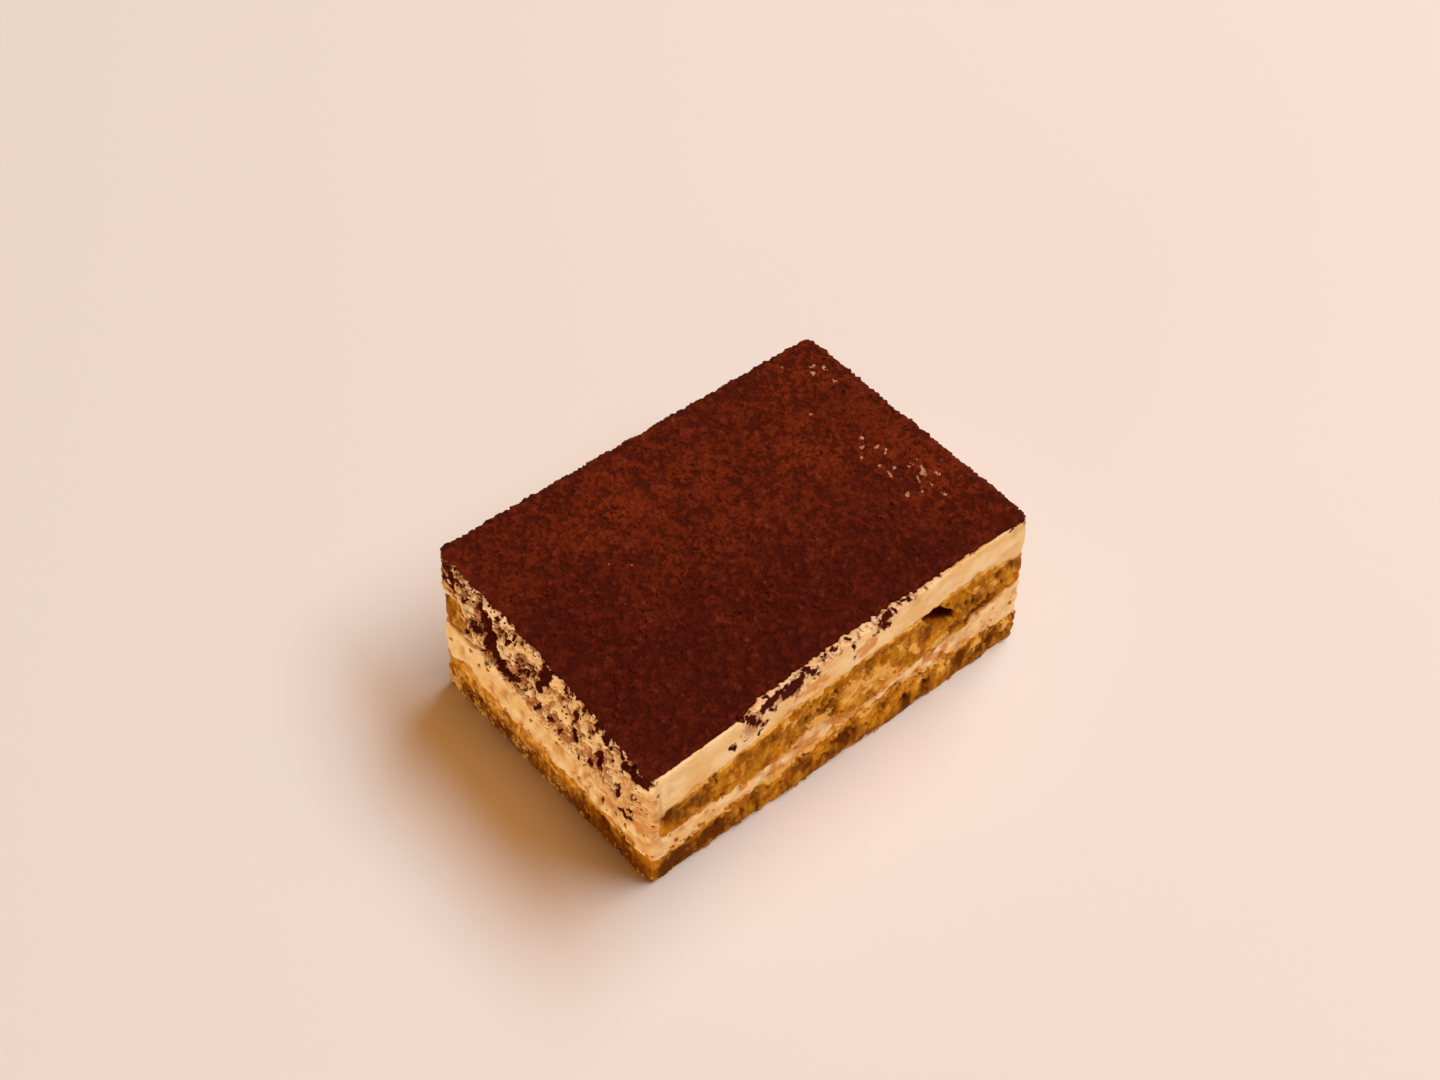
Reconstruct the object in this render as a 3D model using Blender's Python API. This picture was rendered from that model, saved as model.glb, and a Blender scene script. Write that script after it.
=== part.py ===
"""A portion of tiramisu, cut from a tray: two soaked sponge layers, two layers of mascarpone cream
and a dusting of cocoa. Metres, +Z up. The long cut side faces -Y, the smeared short side faces -X.
The origin is the middle of the underside."""

import math

import bmesh
import bpy
from mathutils import Matrix, Vector

# Driving dimensions of the portion.
LENGTH = 0.095
DEPTH = 0.065
HEIGHT = 0.0384
COCOA_THICKNESS = 0.0009
LAYER_GAP = 0.0003
SPONGE_RECESS = 0.0004

# How far each corner of the base, and of the top, lies off the plain box: along X, Y and up.
BASE_OFF = {
    "front_left": (0.0003, 0.0012, 0.0),
    "front_right": (0.0004, -0.0002, 0.0),
    "back_left": (-0.0013, -0.0003, 0.0),
    "back_right": (0.0, 0.0, 0.0),
}
TOP_OFF = {
    "front_left": (0.0003, -0.0006, -0.0014),
    "front_right": (-0.0005, 0.0001, 0.0),
    "back_left": (0.0013, 0.0007, 0.0014),
    "back_right": (-0.0002, -0.0002, 0.0),
}

# Share of the height at which each layer ends deep inside the portion, and the least thickness.
PLAIN_LEVEL = {"lower_sponge": 0.27, "middle_cream": 0.44, "upper_sponge": 0.75}
LEAST_LAYER = 0.03

# The same levels at the long cut side, as (share of the length, share of the height).
FRONT_LEVELS = {
    "lower_sponge": ((0.0, 0.26), (0.26, 0.28), (0.45, 0.31), (0.62, 0.30), (0.80, 0.27), (1.0, 0.22)),
    "middle_cream": (
        (0.0, 0.45),
        (0.08, 0.42),
        (0.30, 0.40),
        (0.42, 0.47),
        (0.55, 0.35),
        (0.72, 0.40),
        (0.84, 0.42),
        (1.0, 0.49),
    ),
    "upper_sponge": ((0.0, 0.64), (0.16, 0.69), (0.35, 0.75), (0.60, 0.76), (0.86, 0.79), (1.0, 0.70)),
}
# And at the short smeared side, as (share of the depth from the front, share of the height).
SIDE_LEVELS = {
    "lower_sponge": ((0.0, 0.23), (0.35, 0.27), (0.6, 0.25), (1.0, 0.27)),
    "middle_cream": ((0.0, 0.45), (0.45, 0.48), (0.75, 0.52), (1.0, 0.50)),
    "upper_sponge": ((0.0, 0.64), (0.5, 0.72), (1.0, 0.73)),
}
SIDE_REACH = 0.014

# The smeared side is worn back under the cocoa, and the upright corners are eased.
WORN_BACK = 0.0012
WORN_FROM_LEVEL = 0.5
CORNER_EASE = 0.0008
CORNER_REACH = 0.0022

# The cream that the knife dragged down over the end of the upper sponge, as far as this on the short side.
SMEAR_THICKNESS = 0.0015
SMEAR_END = 0.88
SMEAR_FOOT = 0.0006
SMEAR_ROOT = 0.07

# The seam between the two pieces of the upper sponge leans, and gapes at the cut side.
SEAM_POINT = (0.0255, 0.0240)
SEAM_LEAN = math.radians(45)
SEAM_WIDTH = 0.0004
GAPE_WIDTH = 0.0024
GAPE_HEIGHT = 0.0088
GAPE_DEPTH = 0.0075

# The cocoa stops short of the long cut side where the cream's rim is bare.
COCOA_MARGIN = 0.0004
BARE_RIM = 0.0011
BARE_FROM, BARE_TO = 0.22, 1.0

CELLS_ALONG = 28
CELLS_ACROSS = 14
CELLS_UP = 2
CROWDING = 1.3


def smooth_step(value, start, end):
    """0 before start, 1 after end, smooth in between."""
    share = min(1.0, max(0.0, (value - start) / (end - start)))
    return share * share * (3 - 2 * share)


def along_stations(stations, where):
    """The level at a place along a side, smooth between the stations."""
    for (start, low), (end, high) in zip(stations, stations[1:]):
        if where <= end:
            return low + (high - low) * smooth_step(where, start, end)
    return stations[-1][1]


def between_corners(offsets, along, across, axis):
    """The offset at a place in plan, from the offsets of the four corners."""
    front = offsets["front_left"][axis] * (1 - along) + offsets["front_right"][axis] * along
    back = offsets["back_left"][axis] * (1 - along) + offsets["back_right"][axis] * along
    return front * (1 - across) + back * across


def level(name, along, across):
    """Share of the height at which a layer ends: plain inside, uneven near the two shown sides."""
    near_front = math.exp(-((across * DEPTH / SIDE_REACH) ** 2))
    near_side = math.exp(-((along * LENGTH / SIDE_REACH) ** 2)) * (1 - near_front)
    front = along_stations(FRONT_LEVELS[name], along)
    side = along_stations(SIDE_LEVELS[name], across)
    plain = PLAIN_LEVEL[name]
    return plain + (front - plain) * near_front + (side - plain) * near_side


def lower_sponge_top(along, across):
    return level("lower_sponge", along, across)


def middle_cream_top(along, across):
    return max(lower_sponge_top(along, across) + LEAST_LAYER, level("middle_cream", along, across))


def upper_sponge_top(along, across):
    return level("upper_sponge", along, across)


def height_at(along, across):
    return HEIGHT + between_corners(TOP_OFF, along, across, 2)


def cream_rim(along, across):
    """The cream ends where the cocoa starts."""
    return 1 - COCOA_THICKNESS / height_at(along, across)


def place(along, across, share):
    """The point of the portion at these shares of its length, depth and height."""
    x, y = ((part - 0.5) * size for part, size in ((along, LENGTH), (across, DEPTH)))
    x += between_corners(BASE_OFF, along, across, 0) * (1 - share)
    x += between_corners(TOP_OFF, along, across, 0) * share
    y += between_corners(BASE_OFF, along, across, 1) * (1 - share)
    y += between_corners(TOP_OFF, along, across, 1) * share
    worn = WORN_BACK * smooth_step(share, WORN_FROM_LEVEL, 1.0) * 4 * across * (1 - across)
    x += worn * max(0.0, 1 - 4 * along)
    to_end = min(along, 1 - along) * LENGTH
    to_side = min(across, 1 - across) * DEPTH
    ease = CORNER_EASE * math.exp(-(to_end + to_side) / CORNER_REACH)
    x += math.copysign(ease, 0.5 - along)
    y += math.copysign(ease, 0.5 - across)
    return Vector((x, y, share * height_at(along, across)))


def crowded(share):
    """Grid stations crowd towards the two shown sides, where the levels change fastest."""
    return share**CROWDING


def divided_cube():
    """A cube of unit size standing on the origin, cut into the cells of a layer."""
    shape = bmesh.new()
    bmesh.ops.create_cube(shape, size=1.0, matrix=Matrix.Translation((0.5, 0.5, 0.5)))
    for axis, cells in enumerate((CELLS_ALONG, CELLS_ACROSS, CELLS_UP)):
        edges = [e for e in shape.edges if abs(e.verts[0].co[axis] - e.verts[1].co[axis]) > 0.5]
        bmesh.ops.subdivide_edges(shape, edges=edges, cuts=cells - 1, use_grid_fill=True)
    return shape


def finish_object(name, shape, material, collection):
    """Makes an object of a bmesh, in its collection."""
    bmesh.ops.recalc_face_normals(shape, faces=shape.faces)
    mesh = bpy.data.meshes.new(name)
    shape.to_mesh(mesh)
    shape.free()
    mesh.shade_smooth()
    mesh.set_sharp_from_angle(angle=math.radians(35))
    if material:
        mesh.materials.append(material)
    made = bpy.data.objects.new(name, mesh)
    collection.objects.link(made)
    return made


def layer_object(name, bottom, top, material, collection, margin=None):
    """One layer of the portion. bottom and top give its share of the height at a place in plan, and
    margin how far it is set back from each side: left, right, front and back."""
    left, right, front, back = margin or (0.0, 0.0, 0.0, 0.0)
    shape = divided_cube()
    for vertex in shape.verts:
        along = left / LENGTH + crowded(vertex.co.x) * (1 - (left + right) / LENGTH)
        near = front(along) if callable(front) else front
        across = near / DEPTH + crowded(vertex.co.y) * (1 - (near + back) / DEPTH)
        up = vertex.co.z
        lowest, highest = bottom(along, across), top(along, across)
        point = place(along, across, lowest * (1 - up) + highest * up)
        point.z += LAYER_GAP / 2 * ((1 - up) * (lowest > 0) - up * (highest < 1))
        vertex.co = point
    return finish_object(name, shape, material, collection)


def hide_cutter(item):
    """Keeps a helper of a Boolean out of the food."""
    item.hide_render = True
    item.display_type = "WIRE"


def block_object(name, size, centre, turn, collection):
    """A box for a Boolean."""
    shape = bmesh.new()
    bmesh.ops.create_cube(shape, size=1.0, matrix=Matrix.Diagonal((*size, 1.0)))
    block = finish_object(name, shape, None, collection)
    block.location = centre
    block.rotation_euler = turn
    hide_cutter(block)
    return block


def combine(target, operation, other):
    modifier = target.modifiers.new(f"{operation.lower()}_{other.name}", "BOOLEAN")
    modifier.operation = operation
    modifier.solver = "EXACT"
    modifier.object = other


def food_material(name, colour, roughness):
    material = bpy.data.materials.new(name)
    material.use_nodes = True
    shader = material.node_tree.nodes["Principled BSDF"]
    shader.inputs["Base Color"].default_value = (*colour, 1.0)
    shader.inputs["Roughness"].default_value = roughness
    shader.inputs["Metallic"].default_value = 0.0
    return material


def bare_rim(along):
    """How far the cocoa stops short of the long cut side."""
    bare = smooth_step(along, BARE_FROM, BARE_FROM + 0.14)
    bare *= 1 - smooth_step(along, BARE_TO - 0.08, BARE_TO)
    return COCOA_MARGIN + BARE_RIM * bare


def upper_sponge(material, food, cutters):
    """Two pieces of sponge side by side. Each is the whole layer less what lies past the leaning seam,
    and a gape opens the seam at the cut side."""
    seam = Vector((SEAM_POINT[0], 0.0, SEAM_POINT[1]))
    turn = (0.0, -SEAM_LEAN, 0.0)
    across_seam = Vector((math.cos(SEAM_LEAN), 0.0, math.sin(SEAM_LEAN)))
    past = Vector((1.5 * LENGTH, 2 * DEPTH, 2 * LENGTH))
    gape_centre = seam - Vector((0.0, DEPTH / 2, 0.0))
    gape_size = (GAPE_WIDTH, 2 * GAPE_DEPTH, GAPE_HEIGHT)
    gape = block_object("seam_gape", gape_size, gape_centre, turn, cutters)
    margin = (SMEAR_THICKNESS + 2 * LAYER_GAP, SPONGE_RECESS, SPONGE_RECESS, SPONGE_RECESS)
    for name, side in (("sponge_upper_long", 1), ("sponge_upper_short", -1)):
        piece = layer_object(name, middle_cream_top, upper_sponge_top, material, food, margin)
        centre = seam + across_seam * side * (past.x + SEAM_WIDTH) / 2
        centre -= across_seam * side * SEAM_WIDTH
        combine(piece, "DIFFERENCE", block_object(f"past_{name}", past, centre, turn, cutters))
        combine(piece, "DIFFERENCE", gape)


def top_cream(material, food, cutters):
    """The upper cream, with the smear that hangs down over the end of the upper sponge."""
    cream = layer_object("cream_top", upper_sponge_top, cream_rim, material, food)
    shape = divided_cube()
    for vertex in shape.verts:
        across = vertex.co.y * SMEAR_END
        foot = middle_cream_top(0.0, across)
        root = upper_sponge_top(0.0, across) + SMEAR_ROOT
        point = place(0.0, across, foot * (1 - vertex.co.z) + root * vertex.co.z)
        point.x += vertex.co.x * SMEAR_THICKNESS
        point.z += SMEAR_FOOT * (1 - vertex.co.z)
        vertex.co = point
    smear = finish_object("hanging_smear", shape, None, cutters)
    hide_cutter(smear)
    combine(cream, "UNION", smear)


def centre_on_origin(food, cutters):
    """Moves everything so that the middle of the bounding box stands on the origin."""
    graph = bpy.context.evaluated_depsgraph_get()
    corners = []
    for item in food.objects:
        evaluated = item.evaluated_get(graph)
        corners += [evaluated.matrix_world @ Vector(corner) for corner in evaluated.bound_box]
    for axis in (0, 1):
        places = [corner[axis] for corner in corners]
        middle = (min(places) + max(places)) / 2
        for item in (*food.objects, *cutters.objects):
            item.location[axis] -= middle


def main():
    for item in list(bpy.data.objects):
        bpy.data.objects.remove(item)
    food = bpy.data.collections.new("tiramisu_portion")
    cutters = bpy.data.collections.new("cutters")
    for collection in (food, cutters):
        bpy.context.scene.collection.children.link(collection)

    sponge = food_material("soaked_sponge", (0.33, 0.12, 0.015), 0.8)
    cream = food_material("mascarpone_cream", (0.80, 0.53, 0.24), 0.45)
    cocoa = food_material("cocoa_powder", (0.10, 0.014, 0.004), 0.95)

    recess = (SPONGE_RECESS,) * 4
    layer_object("sponge_lower", lambda *_: 0.0, lower_sponge_top, sponge, food, recess)
    layer_object("cream_middle", lower_sponge_top, middle_cream_top, cream, food)
    upper_sponge(sponge, food, cutters)
    top_cream(cream, food, cutters)
    margin = (COCOA_MARGIN, COCOA_MARGIN, bare_rim, COCOA_MARGIN)
    layer_object("cocoa_dusting", cream_rim, lambda *_: 1.0, cocoa, food, margin)
    centre_on_origin(food, cutters)


main()
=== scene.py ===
"""A hand-cut portion of tiramisu in detail: soaked sponge with open pores, torn and smeared mascarpone
cream and loose cocoa powder, laid over the solids of the part. Everything is in metres, +Z up; the long
cut side faces -Y and the smeared short side faces -X."""

import math
import random
from types import SimpleNamespace

import bmesh
import bpy
from mathutils import Euler, Matrix, Vector, noise
from mathutils.bvhtree import BVHTree


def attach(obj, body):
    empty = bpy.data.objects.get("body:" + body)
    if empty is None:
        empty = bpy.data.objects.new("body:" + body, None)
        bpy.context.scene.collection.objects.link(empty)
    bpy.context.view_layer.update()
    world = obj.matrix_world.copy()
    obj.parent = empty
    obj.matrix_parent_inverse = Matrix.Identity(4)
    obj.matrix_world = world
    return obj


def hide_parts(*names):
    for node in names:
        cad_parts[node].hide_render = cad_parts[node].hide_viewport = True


bl_info = {
    "name": "Tiramisu portion",
    "version": (1, 0, 0),
    "blender": (4, 5, 0),
    "location": "3D View > Sidebar > Tiramisu",
    "description": "Models a cut portion of tiramisu, its cream, sponge and cocoa",
    "category": "Add Mesh",
}

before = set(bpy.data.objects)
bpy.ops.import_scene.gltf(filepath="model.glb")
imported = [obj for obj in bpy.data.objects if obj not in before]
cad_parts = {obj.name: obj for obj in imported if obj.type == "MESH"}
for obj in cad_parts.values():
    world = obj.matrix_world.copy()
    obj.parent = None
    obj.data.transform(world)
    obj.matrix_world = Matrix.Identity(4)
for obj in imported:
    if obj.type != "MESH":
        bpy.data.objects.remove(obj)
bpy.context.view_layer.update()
BODY = "root"
MM = 0.001
# The vector noise takes its offsets from this seed. Unseeded, it would take them from the clock.
NOISE_SEED = 5

# The plan of the portion, as the solids have it: the plain box, and how far its corners lie off it.
LENGTH, DEPTH, HEIGHT = 0.095, 0.065, 0.0384
MIDDLE = Vector((0.00028, -0.00005, 0.0))
BASE_OFF = {
    "front_left": (0.0003, 0.0012, 0.0),
    "front_right": (0.0004, -0.0002, 0.0),
    "back_left": (-0.0013, -0.0003, 0.0),
    "back_right": (0.0, 0.0, 0.0),
}
TOP_OFF = {
    "front_left": (0.0003, -0.0006, -0.0014),
    "front_right": (-0.0005, 0.0001, 0.0),
    "back_left": (0.0013, 0.0007, 0.0014),
    "back_right": (-0.0002, -0.0002, 0.0),
}

# Shares of the height at which the layers end: inside, and along the two cut sides that are worked out.
PLAIN_LEVEL = {"lower_sponge": 0.27, "middle_cream": 0.44, "upper_sponge": 0.75}
LEAST_LAYER = 0.02
FRONT_LEVELS = {
    "lower_sponge": ((0.0, 0.24), (0.26, 0.27), (0.45, 0.29), (0.62, 0.29), (0.80, 0.25), (1.0, 0.21)),
    "middle_cream": (
        (0.0, 0.45), (0.08, 0.42), (0.30, 0.40), (0.42, 0.47),
        (0.55, 0.34), (0.72, 0.40), (0.84, 0.42), (1.0, 0.49),
    ),
    "upper_sponge": ((0.0, 0.64), (0.16, 0.69), (0.35, 0.75), (0.60, 0.76), (0.86, 0.79), (1.0, 0.70)),
}
SIDE_LEVELS = {
    "lower_sponge": ((0.0, 0.23), (0.35, 0.27), (0.6, 0.25), (1.0, 0.27)),
    "middle_cream": ((0.0, 0.45), (0.45, 0.48), (0.75, 0.52), (1.0, 0.50)),
    "upper_sponge": ((0.0, 0.64), (0.5, 0.72), (1.0, 0.73)),
}
# How far in the unevenness of the cut sides reaches, how far the short side is worn back at its top, and
# how much the upright corners are eased.
SIDE_REACH = 0.014
WORN_BACK = 0.0012
CORNER_EASE, CORNER_REACH = 0.0003, 0.0012
COCOA_THICKNESS = 0.0009
# How far in from its edge the cocoa is ragged, in millimetres.
COCOA_FRAY = 1.6
# The cream that hangs down over the short side: how far back it goes, and how thick it is.
SMEAR_END = 0.9
SMEAR_THICKNESS = 0.0016
# The seam of the upper sponge: a point that it goes through on the long side, and how far it leans. It
# gapes there, that deep, between two places along the side and up, in millimetres.
SEAM_POINT = (0.0255, 0.0240)
SEAM_LEAN = math.radians(45)
GAPE_DEPTH = 0.0032
GAPE_TOP, GAPE_FOOT = (22.2, 27.9), (28.8, 22.0)

# How thick each layer is taken to be when its sides are divided into cells.
LAYER_DEPTH = {"lower_sponge": 0.0108, "middle_cream": 0.0078, "upper_sponge": 0.0125, "top_cream": 0.0135}
# Rings of cells round the edge of a layer, by how far in they lie.
SPONGE_RINGS = (0.0003, 0.0007, 0.0012)
CREAM_RINGS = (0.0003, 0.0007, 0.0013, 0.0020)
FOOT_RINGS = (0.0003, 0.0008, 0.0014, 0.0019, 0.0026)
RIM_RINGS = tuple(0.00025 * step for step in range(1, 14))
# The hidden caps inside those rings are coarse: the length of a cell, the rows across, and the gap left
# to the last ring.
CAP_CELL, CAP_ROWS, CAP_GAP = 0.0026, 24, 0.0012
# How deep a layer carries the marks of its cut sides.
SKIN = 0.004
# Sizes of the sponge's pores, in millimetres.
LARGE_PORE, SMALL_PORE = 2.3, 1.15
# How far a mark slides along a cut side, and up it, for each unit that its spot lies in from that side.
SHORT_SIDE_SLIDE = (1.19, 1.84)
LONG_SIDE_SLIDE = (0.84, 1.54)
# The cream's marks: painted shade with a golden tint, coffee, cocoa dust, cocoa, painted highlight.
CREAM_MARKS = ("hollow", "soak", "dust", "cocoa", "pale")

# How far the cocoa stops short of the long cut side: place along it, and millimetres.
BARE_RIM = (
    (0.0, 0.3),
    (0.2, 0.3),
    (0.29, 1.6),
    (0.5, 1.9),
    (0.61, 1.65),
    (0.71, 1.0),
    (0.82, 0.8),
    (0.92, 0.3),
    (0.97, -0.2),
    (1.0, -0.2),
)

# Streaks of cocoa that the knife left on the cream of the long side. In millimetres: place along the
# side, height, half length, half height, slant, strength.
FRONT_STREAKS = (
    (-13.8, 35.5, 2.6, 2.3, 0.1, 1.15),
    (-16.8, 37.0, 1.5, 1.0, 0.0, 1.1),
    (-19.6, 35.4, 2.2, 1.6, 0.4, 0.95),
    (-18.0, 33.2, 1.2, 0.6, 0.0, 0.9),
    (-24.2, 35.0, 1.0, 2.6, -0.1, 0.95),
    (-22.4, 32.3, 0.8, 1.4, 0.2, 0.9),
    (-26.0, 36.4, 0.9, 0.7, 0.0, 0.7),
    (-28.4, 30.2, 0.7, 0.9, 0.0, 1.0),
    (-25.2, 29.0, 0.5, 0.6, 0.0, 0.7),
    (-20.7, 30.2, 0.7, 0.9, -0.2, 0.95),
    (-21.6, 28.4, 0.6, 0.7, 0.0, 0.8),
    (-19.6, 27.0, 0.5, 0.7, 0.0, 0.7),
    (-12.3, 32.2, 0.6, 0.9, 0.0, 1.0),
    (-10.2, 37.6, 0.8, 1.0, -0.3, 0.9),
    (-8.9, 36.0, 0.7, 1.2, -0.4, 0.95),
    (-8.0, 34.2, 0.7, 0.9, 0.0, 0.9),
    (-11.0, 34.6, 0.5, 0.7, 0.0, 0.8),
    (-6.4, 38.0, 1.1, 0.6, 0.3, 0.95),
    (-4.4, 38.8, 1.0, 0.5, 0.0, 0.85),
    (-2.6, 38.1, 1.0, 0.5, 0.0, 0.95),
    (-0.6, 38.4, 0.9, 0.7, -0.4, 0.85),
    (1.2, 35.0, 0.4, 1.4, -0.2, 0.8),
    (1.7, 31.0, 0.5, 0.5, 0.0, 0.75),
    (6.9, 34.2, 1.2, 0.6, 0.0, 0.9),
    (7.2, 38.6, 0.5, 1.0, 0.0, 0.9),
    (9.0, 36.8, 1.3, 2.0, 0.0, 1.25),
    (9.4, 39.4, 0.7, 0.8, 0.0, 0.8),
    (11.2, 37.4, 0.5, 1.5, -0.2, 0.9),
    (10.4, 33.8, 0.4, 0.9, -0.2, 0.8),
    (13.2, 38.6, 0.7, 0.8, -0.3, 0.85),
    (14.8, 37.8, 0.8, 0.5, 0.0, 0.75),
    (16.8, 38.8, 0.5, 0.8, -0.3, 0.8),
    (20.4, 39.6, 0.6, 0.9, -0.5, 0.8),
    (22.8, 38.8, 0.6, 0.9, -0.5, 0.75),
    (31.6, 39.4, 0.5, 1.3, -0.5, 0.8),
    (41.4, 38.4, 0.5, 0.6, 0.0, 0.8),
    (46.0, 37.6, 0.8, 1.0, 0.0, 1.0),
    (3.6, 40.2, 0.5, 0.7, -0.3, 0.7),
    (-12.0, 39.4, 0.7, 0.5, 0.0, 0.6),
)
# A thin brown wash of cocoa and coffee over the same cream.
FRONT_WASHES = (
    (-23.5, 32.5, 4.0, 5.0, 0.0, 0.62),
    (-16.0, 35.5, 7.0, 3.0, 0.0, 0.6),
    (-5.0, 37.5, 6.0, 2.2, 0.0, 0.5),
    (9.0, 37.0, 5.0, 3.0, 0.0, 0.55),
    (-10.0, 29.0, 6.0, 1.5, 0.0, 0.35),
)
# Coffee that has run into the upper cream there.
FRONT_COFFEE = (
    (4.6, 32.2, 4.6, 4.6, 0.1, 0.64),
    (-9.0, 31.4, 8.0, 3.2, 0.0, 0.55),
    (-23.0, 31.0, 4.0, 3.0, 0.0, 0.45),
    (9.5, 35.0, 2.6, 3.0, 0.0, 0.5),
)
# Crumb dragged over the middle cream of the long side, and cream dragged over the sponges there.
FRONT_CRUMB = (
    (-3.0, 16.0, 1.6, 3.4, -0.4, 1.1),
    (0.4, 13.8, 2.0, 2.8, -0.4, 1.2),
    (3.8, 12.2, 1.8, 2.6, -0.5, 1.1),
    (6.6, 15.2, 1.4, 2.4, -0.5, 1.0),
    (12.6, 11.4, 2.2, 1.2, 0.0, 0.9),
    (-9.0, 12.0, 3.6, 1.6, -0.2, 0.8),
    (10.0, 13.6, 2.2, 1.0, -0.4, 0.75),
    (2.0, 16.4, 1.6, 1.6, -0.5, 1.0),
    (-17.0, 12.2, 2.8, 1.4, 0.0, 0.7),
    (-25.5, 14.0, 1.2, 1.8, 0.0, 0.6),
    (17.6, 16.0, 2.0, 1.4, -0.4, 1.0),
    (22.4, 13.0, 1.4, 1.4, -0.4, 0.8),
    (26.6, 12.0, 1.6, 1.8, 0.0, 0.8),
    (30.5, 11.0, 1.4, 1.2, 0.0, 0.6),
    (-34.6, 14.2, 0.9, 1.2, 0.0, 0.5),
)
FRONT_DRAGS = (
    (10.6, 19.0, 2.4, 5.0, -0.75, 0.95),
    (14.4, 14.4, 3.2, 2.4, -0.8, 1.3),
    (4.0, 21.0, 10.0, 8.0, -0.5, 0.5),
    (-12.0, 25.0, 9.0, 3.0, 0.0, 0.36),
    (36.0, 24.0, 6.0, 4.0, -0.3, 0.4),
    (4.6, 21.0, 0.9, 3.6, -0.6, 0.9),
    (1.4, 24.0, 0.8, 2.6, -0.4, 0.75),
    (-17.0, 11.0, 4.2, 1.9, 0.0, 1.1),
    (-7.0, 19.0, 4.0, 1.4, 0.0, 1.1),
    (-15.2, 25.6, 1.6, 1.2, -0.2, 0.8),
    (-8.0, 23.4, 1.2, 1.6, -0.4, 0.75),
    (7.0, 10.2, 4.0, 1.5, -0.6, 1.0),
    (17.4, 21.0, 1.6, 2.6, -0.6, 0.9),
    (14.0, 24.0, 1.2, 3.0, -0.4, 0.75),
    (25.0, 17.6, 3.0, 1.2, -0.5, 0.9),
    (26.6, 7.6, 1.2, 3.0, 0.0, 0.95),
    (28.8, 6.0, 0.8, 2.6, 0.0, 0.7),
    (20.0, 8.6, 1.4, 1.6, 0.0, 0.7),
    (36.6, 6.2, 1.2, 2.6, 0.0, 0.8),
    (45.0, 5.6, 1.2, 3.2, 0.0, 0.8),
    (33.6, 26.6, 1.8, 1.2, -0.4, 0.6),
    (39.4, 24.4, 1.6, 1.4, -0.4, 0.6),
    (-30.0, 9.8, 2.6, 1.0, 0.0, 0.6),
    (-2.0, 9.4, 1.8, 1.0, -0.3, 0.6),
)
# Dark, wet spots of the sponges on the long side.
FRONT_WET = (
    (-43.6, 22.4, 1.8, 2.6, 0.0, 1.3),
    (-38.5, 20.6, 6.0, 3.2, 0.0, 1.15),
    (-30.0, 22.6, 4.0, 1.6, 0.0, 0.4),
    (-18.4, 23.5, 2.2, 2.2, -0.3, 1.0),
    (-4.0, 21.0, 2.2, 1.8, -0.3, 1.1),
    (-12.0, 24.0, 1.4, 1.6, 0.0, 0.8),
    (4.0, 26.5, 3.0, 1.0, 0.0, 0.8),
    (-24.4, 20.4, 1.0, 3.2, -0.2, 0.55),
    (10.0, 27.0, 3.0, 0.9, 0.0, 0.7),
    (20.4, 23.6, 2.6, 3.0, -0.5, 0.7),
    # Under the short piece's rounded foot: partly its browned skin, partly painted shadow.
    (34.5, 18.4, 6.6, 1.2, 0.05, 1.3),
    (44.4, 26.0, 2.0, 2.4, -0.5, 0.9),
    (35.0, 22.0, 4.0, 2.4, 0.0, 0.5),
    (-10.0, 21.6, 3.6, 2.0, 0.0, 0.45),
    (30.0, 23.6, 1.0, 2.6, -0.6, 0.8),
    (-42.0, 6.0, 5.0, 3.8, 0.0, 1.5),
    (-33.0, 6.6, 5.0, 3.4, 0.0, 1.5),
    (-22.0, 8.0, 1.6, 2.8, 0.0, 1.2),
    (-26.4, 7.0, 1.2, 2.2, 0.0, 0.9),
    (-10.5, 7.0, 3.0, 2.6, -0.3, 1.1),
    (0.8, 7.0, 2.6, 3.0, 0.0, 1.4),
    (-4.6, 5.0, 2.4, 1.6, 0.0, 0.8),
    (10.2, 8.6, 1.8, 1.5, -0.3, 1.1),
    (17.6, 3.4, 1.6, 2.6, -0.2, 1.2),
    (22.4, 5.0, 1.4, 2.8, 0.0, 1.1),
    (32.4, 5.6, 2.2, 3.6, 0.0, 1.4),
    (37.8, 3.4, 1.2, 2.0, 0.0, 0.9),
    (41.4, 4.6, 2.4, 3.0, 0.0, 1.3),
)
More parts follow.
